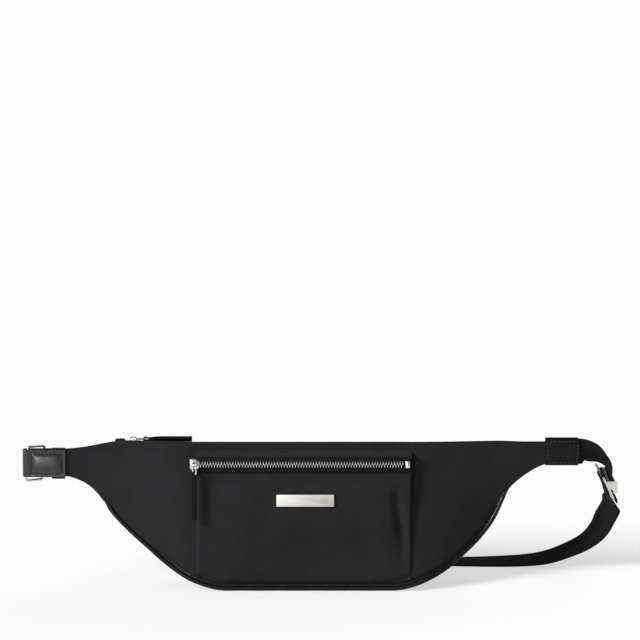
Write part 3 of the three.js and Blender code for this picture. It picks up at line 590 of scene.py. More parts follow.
def make_gusset():
    points, inward = outline_stations(230)
    x, low = points[:, 0], points[:, 1]
    edge = lerp(2.8, FABRIC + 0.2, smoothstep(np.abs(x), PIPING_REACH - 2, PIPING_REACH + 8))
    front = front_y(x, low) + edge
    back = back_y(x, low) - edge
    share = np.linspace(0, 1, 15)
    y = front[:, None] + (back - front)[:, None] * share[None]
    loose = smoothstep(low, 2, 12) * (1 - wing_blend(x))
    sag = -loose[:, None] * np.sin(math.pi * share)[None]
    sag = sag + 0.25 * np.sin(y / 5.3 + x[:, None] / 9)
    moved = points[:, None] + inward[:, None] * np.maximum(sag, -0.9)[..., None]
    moved[..., 1] = np.maximum(moved[..., 1], 0)
    grid = joined(moved[..., 0], y, moved[..., 1])
    offset = joined(inward[:, 0], 0, inward[:, 1])[:, None] * FABRIC
    along = np.arange(len(x)) * np.linalg.norm(points[1] - points[0])
    gusset = Solid().add(*shell(grid, offset, joined(along[:, None], y)))
    gusset.piece("bottom_gusset_cloth", "nylon_shell", ["bottom_gusset"])


def make_piping(face, side):
    points, inward = outline_stations(260, PIPING_REACH)
    reach = PIPING_RADIUS + 0.25
    spots = points + inward * reach
    y = panel_surface(spots[:, 0], spots[:, 1], side) - side * 0.6
    centres = joined(spots[:, 0], y, spots[:, 1])
    forward = unit(np.gradient(centres, axis=0))
    up = unit(joined(inward[:, 0], 0, inward[:, 1]))
    out = np.cross(forward, up)
    count = np.arange(len(y))
    ends = np.minimum(count, count[::-1]) / 8
    scale = np.clip(np.sqrt(ends), 0.25, 1) * (1 + 0.015 * np.sin(count / 3.1))
    bead = sweep(centres, up, out, circle_section(PIPING_RADIUS, 14), scale=scale)
    lip = centres + up * (PIPING_RADIUS + 0.7)
    flange = sweep(lip, up, out, strap_section(2.6, 0.9, 2), scale=np.clip(ends, 0.2, 1))
    piping = Solid().add(*bead).add(*flange)
    piping.piece(face + "_piping_leather", "leather_piping", [face + "_piping"])


def make_linings():
    """The lining hangs loosely inside the shell."""
    for name, side in (("lining_front", -1), ("lining_back", 1)):
        points, inward = outline_stations(120, 180)
        points = points + inward * 8
        x, low = points[:, 0], points[:, 1]
        top = (front_top(x) if side < 0 else back_top(x)) - 8
        z = low[:, None] + (top - low)[:, None] * np.linspace(0, 1, 24)[None]
        slack = 0.35 * np.sin(x[:, None] / 11 + z / 23) * np.sin(z / 15)
        y = panel_surface(x[:, None], z, side) - side * (FABRIC + 1.1 + slack)
        grid = joined(x[:, None], y, z)
        lining = Solid().add(*shell(grid, vec(0, -side * 0.5, 0), grid[..., [0, 2]]))
        lining.piece(name + "_cloth", "lining", [name])
    low, high = box_of("inner_slip_pocket")
    x = np.linspace(low[0], high[0], 40)[:, None]
    z = np.linspace(low[2], high[2], 20)[None]
    bowed = 1.2 * np.sin(math.pi * (x - low[0]) / (high[0] - low[0])) * smoothstep(z, low[2] + 30, high[2])
    y = back_y(x, z) - FABRIC - 2.2 - bowed
    grid = joined(x, y, z)
    slip = Solid().add(*shell(grid, vec(0, -0.7, 0), grid[..., [0, 2]]))
    slip.piece("slip_pocket_cloth", "lining", ["inner_slip_pocket"])


# ---- Zips: X along the chain, Y across it, Z out of the face. place is those axes and the origin ----
def make_tooth_row(name, from_x, to_x, side, place, replaces):
    """One metal tooth for each pitch, with a rounded head that passes the chain's middle."""
    profile = [(3.0, 0.24, 0.6), (2.7, 0.36, 0.9), (1.3, 0.40, 1.1), (0.3, 0.40, 1.1), (-0.5, 0.34, 0.9),
               (-0.9, 0.2, 0.5)]
    start = from_x + (0.2 if side > 0 else 0.2 + TOOTH_PITCH / 2)
    solid = Solid()
    wide, high = vec([1, 0.55, -0.55, -1, -1, -0.55, 0.55, 1], [0.55, 1, 1, 0.55, -0.55, -1, -1, -0.55])
    faces = tube_faces(len(profile), len(wide))
    for x in np.arange(start, to_x - TOOTH_PITCH / 2, TOOTH_PITCH):
        solid.add(np.concatenate([joined(x + wide * w, side * y, high * h) for y, w, h in profile]), faces)
    solid.moved(*place).piece(name, "zip_teeth", replaces, crease=50)


def slider_outline(length):
    l, w = length / 2, 4.8
    half = vec([l, w * 0.62], [l - 3.5, w], [-l + 1.5, w], [-l, w * 0.72])
    whole = np.concatenate([half, (half * [1, -1])[::-1]])
    return round_corners(whole, 0.9)


def round_corners(outline, radius, steps=4):
    """A closed outline with each corner cut back by radius and rounded."""
    points = []
    for before, corner, after in zip(np.roll(outline, 1, axis=0), outline, np.roll(outline, -1, axis=0)):
        first = corner + unit(before - corner) * radius
        last = corner + unit(after - corner) * radius
        for t in np.linspace(0, 1, steps):
            points.append(first * (1 - t) ** 2 + corner * 2 * t * (1 - t) + last * t**2)
    return np.array(points)


PLATE_LOW = 1.5
PLATE_HIGH = 2.8
ARCH_HEIGHT = 3.6


def make_slider(prefix, x, length, place):
    """The two plates of a slider, and the arch that its link hangs from."""
    basis, origin = place
    at = origin + basis[0] * x
    outline = slider_outline(length)
    top = [(PLATE_LOW, 0.3), (PLATE_LOW + 0.2, 0), (PLATE_HIGH - 0.45, 0), (PLATE_HIGH - 0.12, 0.25),
           (PLATE_HIGH, 0.8)]
    upper = Solid().add(*stack(outline, top))
    crest = PLATE_HIGH + ARCH_HEIGHT - 0.55
    path = vec([-3.15, 0, 2.4], [-3.15, 0, crest - 0.7], [-2.95, 0, crest - 0.25], [-2.5, 0, crest],
               [2.5, 0, crest], [2.95, 0, crest - 0.25], [3.15, 0, crest - 0.7], [3.15, 0, 2.4])
    forward = unit(np.gradient(path, axis=0))
    upper.add(*sweep(path, vec(0, 1, 0), np.cross(forward, vec(0, 1, 0)), strap_section(2.0, 1.1, 2)))
    lower = Solid().add(*stack(outline, [(-z, inset) for z, inset in reversed(top)]))
    body = prefix + "_slider"
    for half, name, node in ((upper, "_top", "_upper"), (lower, "_bottom", "_lower")):
        half.moved(basis, at).piece(body + name, "nickel_hardware", [body + node], body=body)


def ring_solid(length, width, corner, wire, sides=10):
    """A closed ring of round wire with its near bar on the Y axis."""
    outline = rounded_outline(length, width, corner, 6) + [length / 2, 0]
    centres = np.column_stack([outline, np.zeros(len(outline))])
    forward = unit(np.roll(centres, -1, axis=0) - np.roll(centres, 1, axis=0))
    side = np.cross(forward, vec(0, 0, 1))
    return Solid().add(*sweep(centres, side, vec(0, 0, 1), circle_section(wire, sides), closed=True))


LINK_LENGTH = 9.5
LINK_WIDTH = 7.2
LINK_WIRE = 0.75
PULL_LENGTH = 42


def pull_solid(twist):
    """A leather strip folded round the link; its eye is at the origin."""
    layer, eye = 0.83, 1.62
    turn = np.radians(np.linspace(40, 320, 15))
    loop = joined(eye * np.cos(turn), 0, eye * np.sin(turn))
    outward = joined(vec(PULL_LENGTH, 34, 26, 18, 10, 5, 3), 0, layer)
    path = spaced(smooth_curve(np.concatenate([outward, loop, (outward * [1, 1, -1])[::-1]]), 4), 110)
    forward = unit(np.gradient(path, axis=0))
    out = np.cross(forward, vec(0, 1, 0))
    solid = Solid().add(*sweep(path, vec(0, 1, 0), out, strap_section(4.6, 1.5, 5)))
    points = np.array(solid.points)
    angle = math.radians(twist) * smoothstep(points[:, 0], 1, 16)
    cos, sin = np.cos(angle), np.sin(angle)
    y, z = points[:, 1] * cos - points[:, 2] * sin, points[:, 1] * sin + points[:, 2] * cos
    solid.points = joined(points[:, 0], y, z).tolist()
    return solid


def make_link_and_pull(prefix, pivot, axes, twist, place):
    """The link at pivot and the pull at its far end. axes are the link's own X, Y and Z."""
    link = ring_solid(LINK_LENGTH, LINK_WIDTH, 1.5, LINK_WIRE).moved(axes, pivot).moved(*place)
    link.piece(prefix + "_link_wire", "nickel_hardware", [prefix + "_pull_link"], body=prefix + "_link")
    pull = pull_solid(twist).moved(axes, pivot + axes[0] * LINK_LENGTH).moved(*place)
    pull.piece(prefix + "_pull_leather", "leather_trim", [prefix + "_pull"], body=prefix + "_pull_strip")


def make_tape(name, near, far, from_x, to_x, place, replaces, drop=0.0):
    """A zip's woven tape, with the corded edge that the teeth grip."""
    x = np.linspace(from_x, to_x, 160)
    share = np.linspace(0, 1, 10)
    far = far(x) if callable(far) else np.full(len(x), float(far))
    y = near + (far - near)[:, None] * share[None]
    z = 0.4 - drop * smoothstep(share, 0.25, 0.6)[None] + 0.06 * np.sin(x[:, None] / 7 + share[None] * 3)
    solid = Solid().add(*shell(joined(x[:, None], y, z), vec(0, 0, -0.8), joined(x[:, None], y)))
    solid.add(*sweep(joined(x, near, 0), vec(0, 1, 0), vec(0, 0, 1), circle_section(0.75, 8)))
    solid.moved(*place).piece(name, "zip_tape", replaces)


TOP_TILT = math.atan(TOP_DROP / (back_y(0, TOP_HEIGHT - TOP_DROP) - front_y(0, TOP_HEIGHT)))
MAIN_TAPE = (-168, 168)
MAIN_CHAIN = (-162, 162)
MAIN_SLIDER_X = -154
# How far out of a zip's face its link's wire can hang under the slider's arch.
LINK_TOP = PLATE_HIGH + ARCH_HEIGHT - 1.1 - LINK_WIRE


def make_main_zip():
    cos, sin = math.cos(TOP_TILT), math.sin(TOP_TILT)
    basis = vec([1, 0, 0], [0, cos, -sin], [0, sin, cos])
    origin = vec(0, WING_Y, TOP_HEIGHT - 0.9 - (WING_Y - front_y(0, TOP_HEIGHT)) * math.tan(TOP_TILT))
    place = basis, origin
    to_front = lambda x: -((WING_Y - front_y(x, front_top(x))) / cos - FABRIC - 0.1)
    to_back = lambda x: (back_y(x, back_top(x)) - WING_Y) / cos - FABRIC - 0.1
    for face, side, reach in (("front", -1, to_front), ("back", 1, to_back)):
        make_tape("main_tape_" + face, 1.7 * side, reach, *MAIN_TAPE, place, ["main_zip_tape_" + face])
        make_tooth_row("main_teeth_" + face, *MAIN_CHAIN, side, place, ["main_zip_teeth_" + face])
    make_slider("main", MAIN_SLIDER_X, 11, place)
    pivot = vec(MAIN_SLIDER_X + 1.3, 0, LINK_TOP - 0.15)
    make_link_and_pull("main", pivot, np.eye(3), -55, place)
    make_zip_end("main_end_left", -166, 4.4, place, "main_zip_cap_left")
    make_zip_end("main_end_right", 166.5, 1.0, place, "main_zip_cap_right")


def make_zip_end(name, middle, rise, place, node):
    """A tab of shell cloth folded over the end of the zip."""
    half_length, half_width = 6.6, 3.8
    u, v = np.meshgrid(np.linspace(-1, 1, 22), np.linspace(-1, 1, 15), indexing="ij")
    hump = smoothstep(u, -1, -0.45) * (1 - 0.75 * smoothstep(u, 0.55, 1)) * (1 - np.abs(v) ** 4)
    z = 0.5 + rise * hump + 0.15 * np.sin(u * 7 + v * 3) * hump
    grid = joined(middle + half_length * u, half_width * v, z)
    cap = Solid().add(*shell(grid, vec(0, 0, -0.9), grid[..., :2]))
    cap.moved(*place).piece(name, "nylon_shell", [node])


def make_wing_strips():
    """The cloth between the two panels along the wings' top edges."""
    for name, side in (("left_wing_strip", -1), ("right_wing_strip", 1)):
        x = side * np.linspace(170, TONGUE_END, 50)
        share = np.linspace(0, 1, 7)
        top = np.minimum(front_top(x), back_top(x))
        front, back = front_y(x, top) + 0.9, back_y(x, top) - 0.9
        y = front[:, None] + (back - front)[:, None] * share[None]
        z = (top - 0.7)[:, None] - 0.5 * np.sin(math.pi * share)[None]
        grid = joined(x[:, None], y, z)
        strip = Solid().add(*shell(grid, vec(0, 0, -1), grid[..., :2]))
        strip.piece(name + "_cloth", "nylon_shell", [name])


# ---- Front pocket ----
POCKET_LOW, POCKET_HIGH = box_of("pocket_panel")
POCKET_LEFT, POCKET_RIGHT = POCKET_LOW[0], POCKET_HIGH[0]
POCKET_FOOT_Y = -23.5
POCKET_LEAN = 0.0935
POCKET_PANEL_TOP = 107
POCKET_ZIP_Z = 115.6
POCKET_TOP = 123
POCKET_TILT = math.atan(POCKET_LEAN)


def pocket_y(z):
    return POCKET_FOOT_Y + z * POCKET_LEAN


def pocket_foot(x):
    """The pocket's lower edge, sewn into the bag's lower seam."""
    left = smoothstep(-x, 70, -POCKET_LEFT)
    right = smoothstep(x, 76, POCKET_RIGHT)
    return 5.2 + 6.4 * left + 4.0 * right


def pocket_relief(x, z):
    """How far the filled pocket stands out, with a pinch beside its right edge."""
    foot = pocket_foot(x)
    share = np.clip((z - foot) / (POCKET_PANEL_TOP - foot), 0, 1)
    inward = np.minimum(x - POCKET_LEFT, POCKET_RIGHT - x)
    bulge = np.sin(math.pi * share)
    crown = 2.6 * bulge ** 0.7 * smoothstep(inward, 0, 45)
    foot_tuck = -4.0 * (1 - smoothstep(z - foot, 0, 9)) ** 1.5
    rolled = lambda distance, radius: -radius * (1 - np.sqrt(1 - np.clip(1 - distance / radius, 0, 1) ** 2))
    sides = rolled(x - POCKET_LEFT, 4.0) + rolled(POCKET_RIGHT - x, 2.2)
    pinch_x = POCKET_RIGHT - 8 - 5 * smoothstep(z, 40, 90)
    pinch = -4.2 * np.exp(-((x - pinch_x) / 4.5) ** 2) * smoothstep(z, 22, 62) * (1 - smoothstep(z, 78, 100))
    fold_x = POCKET_RIGHT - 24 - (z - 40) * 0.35
    fold = np.exp(-((x - fold_x) / 10) ** 2) * smoothstep(z, 10, 35) * (1 - smoothstep(z, 55, 85))
    hem = 0.5 * smoothstep(z, POCKET_PANEL_TOP - 7, POCKET_PANEL_TOP - 6)
    rippled = 0.6 * ripple(x * 1.2, z * 1.3) * bulge
    return crown + foot_tuck + sides + pinch + fold + hem + rippled


def pocket_point(x, z):
    return joined(x, pocket_y(z) - pocket_relief(x, z), z)


def make_pocket():
    columns = 0.5 - 0.5 * np.cos(math.pi * np.linspace(0, 1, 110))
    x = POCKET_LEFT + (POCKET_RIGHT - POCKET_LEFT) * columns
    foot = pocket_foot(x)
    rows = np.linspace(0, 1, 60)
    z = foot[:, None] + (POCKET_PANEL_TOP - foot)[:, None] * rows[None]
    grid = pocket_point(x[:, None], z)
    panel = Solid().add(*shell(grid, vec(0, FABRIC, 0), grid[..., [0, 2]]))
    panel.piece("pocket_panel_cloth", "nylon_shell", ["pocket_panel"])

    x = np.linspace(POCKET_LEFT + 4, POCKET_RIGHT - 3, 140)
    row = pocket_point(x, np.full(len(x), POCKET_PANEL_TOP - 3.0))
    add_stitches(Solid(), row, vec(0, -1, 0.1)).piece("pocket_stitches", "nylon_shell", material="thread")
    make_pocket_side("left", POCKET_LEFT + 0.5, POCKET_PANEL_TOP + 1)
    make_pocket_side("right", POCKET_RIGHT - 0.5, POCKET_TOP)
    make_pocket_roof()


def make_pocket_side(name, x, top):
    z = np.linspace(pocket_foot(x) + 1, top, 60)
    bulge = np.sin(math.pi * np.linspace(0, 1, 12))[None]
    near = pocket_y(z) + np.where(z < POCKET_PANEL_TOP, 0.8 - pocket_relief(x, z), 1.4)
    far = panel_point(x, z, -1)[:, 1]
    y = near[:, None] + (far - near)[:, None] * np.linspace(0, 1, 12)[None]
    inward = -np.sign(x) * bulge * (0.9 + 0.5 * np.sin(z[:, None] / 9))
    grid = joined(x + inward, y, z[:, None])
    side = Solid().add(*shell(grid, vec(-np.sign(x) * FABRIC, 0, 0), grid[..., 1:]))
    side.piece("pocket_side_" + name, "nylon_shell", ["pocket_gusset_" + name])


def make_pocket_roof():
    """The cloth over the pocket's zip, turned under at its front edge."""
    lip, back = pocket_y(POCKET_TOP), front_y(0, POCKET_TOP + 2.5)
    knots = vec([lip + 3.2, -2.0], [lip + 1.0, -1.7], [lip, -0.6], [lip + 0.9, 0.5], [lip + 5, 1.1],
                [back + 0.8, 2.6])
    profile = smooth_curve(knots + [0, POCKET_TOP], 5)
    x = np.linspace(POCKET_LEFT, POCKET_RIGHT, 120)
    wave = 0.25 * np.sin(x / 16 + 1)[:, None] * np.linspace(0, 1, len(profile))[None]
    ends = 1.2 * (1 - smoothstep(np.minimum(x - POCKET_LEFT, POCKET_RIGHT - x), 0, 5))[:, None]
    grid = joined(x[:, None], profile[None, :, 0], profile[None, :, 1] + wave - ends)
    roof = Solid().add(*shell(grid, -0.9 * normals_of(grid), grid[..., :2]))
    roof.piece("pocket_roof", "nylon_shell", ["pocket_top_gusset"])
    row = grid[3:-3, 14] + [0, 0, 0.05]
    stitches = add_stitches(Solid(), row, vec(0, -0.4, 1), radius=0.32)
    stitches.piece("pocket_roof_stitches", "nylon_shell", material="thread")


def pocket_basis():
    """The pocket's own X, up and out."""
    cos, sin = math.cos(POCKET_TILT), math.sin(POCKET_TILT)
    return vec([1, 0, 0], [0, sin, cos], [0, -cos, sin])


def make_plate():
    """The plain metal plate, held by two prongs through the cloth."""
    low, high = box_of("name_plate")
    basis = pocket_basis()
    middle_z = 83.4
    origin = vec((low[0] + high[0]) / 2, pocket_y(middle_z), middle_z) + basis[2] * 2.6
    outline = rounded_outline(high[0] - low[0], 11, 0.7)
    plate = Solid().add(*stack(outline, bevelled(0, 1.5, 0.35)))
    for x in (-18, 18):
        plate.add(*stack(rounded_outline(2.4, 1.2, 0.3) + [x, 0], [(-5.2, 0), (0.4, 0)]))
    plate.moved(basis, origin).piece("name_plate_metal", "plate_metal", ["name_plate"])


POCKET_CHAIN = (-94.5, 90.5)
POCKET_ZIP_END_X = 92.6
POCKET_SLIDER_X = -98.6


def make_pocket_zip():
    basis = pocket_basis()
    from_zip = lambda z: (z - POCKET_ZIP_Z) / math.cos(POCKET_TILT)
    origin = vec(0, POCKET_FOOT_Y, 0) + basis[1] * POCKET_ZIP_Z / math.cos(POCKET_TILT) - basis[2] * 0.8
    place = basis, origin
    ends = POCKET_LEFT + 1.5, POCKET_RIGHT - 1.5
    upper, lower = from_zip(POCKET_TOP - 1.4), from_zip(POCKET_PANEL_TOP - 4)
    make_tape("pocket_tape_top", 1.7, upper, *ends, place, ["pocket_tape_upper"])
    make_tape("pocket_tape_bottom", -1.7, lower, *ends, place, ["pocket_tape_lower"], drop=1.3)
    make_tooth_row("pocket_teeth_top", *POCKET_CHAIN, 1, place, ["pocket_teeth_upper"])
    make_tooth_row("pocket_teeth_bottom", *POCKET_CHAIN, -1, place, ["pocket_teeth_lower"])
    end = Solid()
    end.add(*stack(rounded_outline(3.8, 6.4, 0.8) + [POCKET_ZIP_END_X, 0], bevelled(-1.5, 1.7, 0.35)))
    end.add(*stack(rounded_outline(2.0, 4.2, 0.5) + [POCKET_ZIP_END_X, 0], bevelled(1.5, 2.2, 0.3)))
    end.moved(*place).piece("pocket_zip_end", "zip_teeth", ["pocket_zip_box"], "nickel_hardware")
    make_slider("pocket", POCKET_SLIDER_X, 8.4, place)
    turn = math.radians(25)
    down, bar = vec(0, -1, 0), vec(math.sin(turn), 0, math.cos(turn))
    hanger = vec(POCKET_SLIDER_X - LINK_WIDTH / 2 * math.sin(turn), 1 + LINK_WIRE + 0.15, LINK_TOP - 0.2)
    axes = np.array([down, bar, np.cross(down, bar)])
    make_link_and_pull("pocket", hanger + bar * LINK_WIDTH / 2, axes, 0, place)


# ---- Belt ----
LEFT_TAB_LOW, LEFT_TAB_HIGH = box_of("left_tab")
RIGHT_TAB_LOW, RIGHT_TAB_HIGH = box_of("right_tab")
RING_PIVOT = vec(-250, WING_Y, 108.2)
RING_FAR = vec(-235.5, 27, 106.8)
RING_WIRE = 1.15
RING_HEIGHT = 33.5
FOLD_RADIUS = 2.4
# A stitch's length, the pitch from one to the next, and the thread's radius.
LEFT_STITCH = (2.3, 3.4, 0.46)
RIGHT_STITCH = (2.2, 3.4, 0.4)
BELT_STITCH = (2.1, 3.0, 0.3)


def box_groove(u, v, half_u, half_v):
    """A groove that is 0 on a stitched box and 1 away from it, and whether a point is inside the box."""
    inside = np.minimum(half_u - np.abs(u), half_v - np.abs(v))
    return 1 - np.exp(-(inside / 0.9) ** 2), inside > 0


def make_left_tab():
    """Leather folded round the ring and sewn in a box through both layers."""
    z_middle = (LEFT_TAB_LOW[2] + LEFT_TAB_HIGH[2]) / 2
    height = LEFT_TAB_HIGH[2] - LEFT_TAB_LOW[2]
    end, radius = LEFT_TAB_HIGH[0], FOLD_RADIUS + LEATHER / 2
    turn = np.radians(np.linspace(270, 90, 15))
    fold = joined(RING_PIVOT[0] + radius * np.cos(turn), WING_Y + radius * np.sin(turn), z_middle)
    front_run = joined(np.linspace(end, RING_PIVOT[0] + 1, 34), WING_Y - radius, z_middle)
    path = np.concatenate([front_run, fold, (front_run * [1, 0, 1] + [0, WING_Y + radius, 0])[::-1]])
    forward = unit(np.gradient(path, axis=0))
    out = np.cross(forward, vec(0, 0, 1))
    box_middle, half = RING_PIVOT[0] + 18.0, (14.0, height / 2 - 3.0)

    def relief(points, side):
        x, z = points[..., 0], points[..., 2]
        groove, inside = box_groove(x - box_middle, z - z_middle, *half)
        u = np.clip((x - box_middle) / half[0], -1, 1)
        v = np.clip((z - z_middle) / half[1], -1, 1)
        pillow = 0.3 + 1.5 * (1 - u**4) * (1 - v**2) + 0.5 * (1 - v)
        pillow = pillow + 0.4 * (1 + u) * (1 - smoothstep(u, 0.6, 1))
        cushion = inside * groove * pillow - 0.35 * (1 - groove)
        away = smoothstep(x, RING_PIVOT[0] + 1, RING_PIVOT[0] + 5)
        pressed = -0.5 * np.exp(-((x - RING_PIVOT[0] - 3.2) / 1.6) ** 2)
        return np.where(side * outward > 0, (cushion * away + pressed) * outward, 0)

    outward = np.sign(out[0] @ vec(0, -1, 0))
    tab = Solid().add(*sweep(path, vec(0, 0, 1), out, strap_section(height, LEATHER, 26), relief=relief))
    tab.piece("left_tab_leather", "leather_trim", ["left_tab"], "leather_polished")
    thread = Solid()
    box = closed_loop(rounded_outline(2 * half[0], 2 * half[1], 0.5) + [box_middle, z_middle])
    for face in (-1, 1):
        y = WING_Y + face * (radius + LEATHER / 2 - 0.05)
        for first, last in ((0, 6), (5, 11), (10, 16), (15, 20), (19, 21)):
            run = box[first:last]
            add_stitches(thread, joined(run[:, 0], y, run[:, 1]), vec(0, face, 0), *LEFT_STITCH)
    thread.piece("left_tab_stitches", "leather_trim", material="tab_thread")


def make_ring():
    across = RING_FAR - RING_PIVOT
    forward = unit(across)
    up = unit(vec(0, 0, 1) - forward * forward[2])
    ring = ring_solid(np.linalg.norm(across), RING_HEIGHT - 2 * RING_WIRE, 2.4, RING_WIRE, 14)
    ring.moved([forward, up, np.cross(forward, up)], RING_PIVOT)
    ring.piece("belt_ring_wire", "nickel_hardware", ["belt_ring"], body="ring")


def sleeve_loop(middle, half, corner, steps, count):
    """The middle line of a leather sleeve round the X axis, and the direction across its leather."""
    loop = rounded_outline(2 * half[1] - LEATHER, 2 * half[2] - LEATHER, corner, steps)
    loop = spaced(closed_loop(loop), count)[:-1]
    path = middle + joined(0, loop[:, 0], loop[:, 1])
    forward = unit(np.roll(path, -1, axis=0) - np.roll(path, 1, axis=0))
    return path, np.cross(forward, vec(1, 0, 0))


def make_right_tab():
    """A leather sleeve over the end of the wing and the belt, sewn round its edge."""
    low, high = RIGHT_TAB_LOW, RIGHT_TAB_HIGH
    middle, half = (low + high) / 2, (high - low) / 2
    path, out = sleeve_loop(middle, half, 1.6, 6, 120)
    box_half = (half[0] - 2.4, half[2] - 3.0)

    def relief(points, side):
        groove, inside = box_groove(points[..., 0] - middle[0], points[..., 2] - middle[2], *box_half)
        return np.where(side * outward > 0, (0.5 * inside * groove - 0.45 * (1 - groove)) * outward, 0)

    outward = np.sign(out[0] @ (path[0] - middle))
    section = strap_section(2 * half[0], LEATHER, 30)
    points, faces, cloth = sweep(path, vec(1, 0, 0), out, section, closed=True, relief=relief)
    bow = np.clip((points[:, 0] - middle[0]) / half[0], -1, 1) ** 5
    points[:, 0] -= 1.6 * bow * ((points[:, 2] - middle[2]) / half[2]) ** 2 * (points[:, 0] > middle[0])
    Solid().add(points, faces, cloth).piece("right_tab_leather", "leather_trim", ["right_tab"])
    thread = Solid()
    box = closed_loop(rounded_outline(2 * box_half[0], 2 * box_half[1], 0.5))
    for face in (-1, 1):
        y = middle[1] + face * (half[1] - 0.05)
        for corner in (4, 9, 14, 19):
            run = spaced(box[corner:corner + 2], 12)
            x = middle[0] + run[:, 0] - 1.4 * (run[:, 0] > 0) * (run[:, 1] / half[2]) ** 2
            add_stitches(thread, joined(x, y, middle[2] + run[:, 1]), vec(0, face, 0), *RIGHT_STITCH)
    thread.piece("right_tab_stitches", "leather_trim", material="tab_thread")


# The clasp's own axes and middle: T down the belt, W across it and N out of its face.
CLASP_T = unit(vec(0.4, 0.25, -0.88))
CLASP_N = unit(np.cross(CLASP_T, vec(0.2, -0.962, -0.178)))
CLASP_W = np.cross(CLASP_N, CLASP_T)
CLASP_AT = vec(269.7, 31, 90.8)
CLASP_END = 16
LOOP_T = -1.4
LOOP = 2.2
RING_LOOP = 3.2
BELT_Z = 106


def on_clasp(t, w, n):
    return CLASP_AT + CLASP_T * t + CLASP_W * w + CLASP_N * n


def half_turn(centre, radius, away, side, across):
    """Knots of a belt that turns back round a bar."""
    turns = [k * math.pi / 4 for k in range(-2, 3)]
    return [(centre + radius * (away * math.cos(a) + side * math.sin(a)), across) for a in turns]


def knots_of(*rows):
    """Knots of a belt, from rows of X, Y, Z and the direction across the belt there."""
    return [(vec(*row[:3]), vec(*row[3:])) for row in rows]


def belt_stations(knots, count):
    centres = smooth_curve([centre for centre, _ in knots], 10)
    positions = np.linspace(0, len(knots) - 1, len(centres))
    ways = np.array([across for _, across in knots], float)
    turned = np.column_stack([np.interp(positions, np.arange(len(knots)), ways[:, k]) for k in range(3)])
    padded = np.pad(turned, ((5, 5), (0, 0)), "edge")
    across = sum(padded[k:k + len(turned)] for k in range(11)) / 11
    both = spaced(np.column_stack([centres, across * MM]), count)
    centres, across = both[:, :3], both[:, 3:] / MM
    forward = unit(np.gradient(centres, axis=0))
    across = unit(across - forward * np.sum(across * forward, axis=1)[:, None])
    return centres, across, np.cross(forward, across)


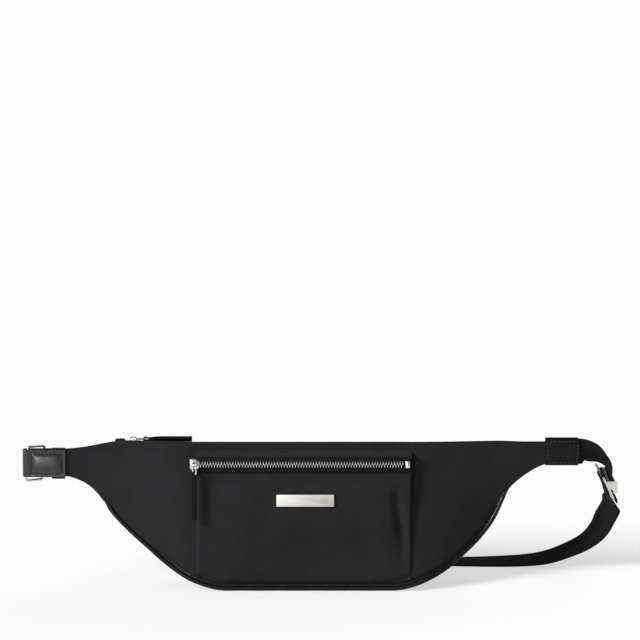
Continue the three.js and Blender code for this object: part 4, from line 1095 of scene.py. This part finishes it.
def make_belts():
    tab_z = (RIGHT_TAB_LOW[2] + RIGHT_TAB_HIGH[2]) / 2
    sewn_y = RING_FAR[1] - 1.2
    upper = [
        *knots_of((238, WING_Y, tab_z, 0, 0, 1), (249, WING_Y, tab_z, 0, 0, 1),
                  (256.9, 18.6, 117.9, 0.12, -0.45, 0.88), (263.8, 22.3, 112, 0.25, -0.72, 0.62),
                  (269.6, 26.6, 106.2, 0.32, -0.88, 0.3)),
        (on_clasp(-7, 0, -7.5), CLASP_W), (on_clasp(0, 0, -6.7), CLASP_W),
        (on_clasp(4.4, 0, -6.25), CLASP_W), (on_clasp(9, 0, -5.9), CLASP_W),
    ]
    round_ring = half_turn(vec(RING_FAR[0], RING_FAR[1], BELT_Z), RING_LOOP, vec(-1, 0, 0), vec(0, 1, 0),
                           vec(0, 0, 1))
    round_clasp = half_turn(on_clasp(LOOP_T, 0, 0), LOOP - 0.5, -CLASP_T, -CLASP_N, CLASP_W)
    # From the sewn end round the ring, down behind the bag, along the floor and up round the clasp's bar.
    long = [
        *knots_of((-213, sewn_y, BELT_Z, 0, 0, 1), (-227, sewn_y, BELT_Z, 0, 0, 1)),
        *round_ring,
        *knots_of((-227, sewn_y + 2.4, BELT_Z, 0, 0, 1), (-213, sewn_y + 2.6, BELT_Z - 0.6, 0.08, 0, 1),
                  (-202, 31, 103.3, 0.25, -0.05, 0.95), (-186, 38, 94, 0.3, -0.1, 0.9),
                  (-166, 49, 79, 0.35, -0.25, 0.85), (-145, 60, 58, 0.35, -0.5, 0.7),
                  (-121, 69.5, 36, 0.25, -0.8, 0.5), (-93, 77, 17, 0.1, -0.95, 0.25),
                  (-60, 80.5, 5, 0, -1, 0.06), (-25, 80, 1.4, 0, -1, 0), (30, 76.5, 1.1, 0, -1, 0),
                  (90, 72.5, 1.1, 0, -1, 0), (140, 70, 1.3, 0, -1, -0.04), (172, 68.5, 1.9, 0, -0.99, -0.1),
                  (203, 67.5, 3.6, 0.03, -0.985, -0.17), (220, 66.5, 6.5, 0.08, -0.96, -0.22),
                  (237, 63.5, 13.2, 0.18, -0.92, -0.24), (253.8, 59.5, 22.8, 0.32, -0.87, -0.22),
                  (265.5, 54, 35.2, 0.58, -0.79, -0.1), (272.5, 48, 49.3, 0.7, -0.7, 0.03),
                  (277.5, 42.2, 62, 0.6, -0.79, 0)),
        (on_clasp(CLASP_END + 7, 0, LOOP + 0.6), vec(0.36, -0.92, -0.12)),
        (on_clasp(CLASP_END - 1.5, 0, LOOP + 0.3), CLASP_W), (on_clasp(7, 0, LOOP - 0.4), CLASP_W),
        *round_clasp,
        (on_clasp(7, 0, 0.4 - LOOP), CLASP_W), (on_clasp(CLASP_END - 1.5, 0, -LOOP), CLASP_W),
        (on_clasp(CLASP_END + 7, 0, 0.8 - LOOP), CLASP_W),
    ]
    section = strap_section(STRAP_WIDTH, STRAP_THICK)
    for name, knots, count in (("belt_upper", upper, 90), ("belt_long", long, 620)):
        webbing = Solid().add(*sweep(*belt_stations(knots, count), section))
        webbing.piece(name + "_webbing", "belt_webbing", [name])
    thread = Solid()
    for t in (CLASP_END + 4.5, CLASP_END + 6.2):
        row = [on_clasp(t, w, -LOOP - STRAP_THICK / 2 + 0.3) for w in (-10, 0, 10)]
        add_stitches(thread, row, -CLASP_N, *BELT_STITCH)
    for x in (-214.5, -230):
        row = [vec(x, sewn_y - STRAP_THICK / 2, BELT_Z + w) for w in (-10, 0, 10)]
        add_stitches(thread, row, vec(0, -1, 0), *BELT_STITCH)
    thread.piece("belt_stitches", "belt_webbing", material="thread")


def make_keeper():
    low, high = box_of("belt_keeper")
    middle, half = (low + high) / 2, (high - low) / 2
    path, out = sleeve_loop(middle, half, 1.3, 5, 90)
    sleeve = sweep(path, vec(1, 0, 0), out, strap_section(2 * half[0], LEATHER, 7), closed=True)
    Solid().add(*sleeve).piece("belt_keeper_leather", "leather_trim", ["belt_keeper"])


def dress_cad_nodes():
    """CAD nodes whose shape is right stay, with a better material."""
    for name in ("clasp_frame", "clasp_jaw", "clasp_pin", "plate_backing"):
        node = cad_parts[name]
        for place in node.material_slots:
            place.material = materials["nickel_hardware"]


make_camera()
make_stage()
materials = make_materials()
for face, side in (("front", -1), ("back", 1)):
    make_panel(face, side)
    make_hem_stitches(face, side)
    make_piping(face, side)
make_gusset()
make_linings()
make_main_zip()
make_wing_strips()
make_pocket()
make_plate()
make_pocket_zip()
make_left_tab()
make_ring()
make_right_tab()
make_belts()
make_keeper()
dress_cad_nodes()
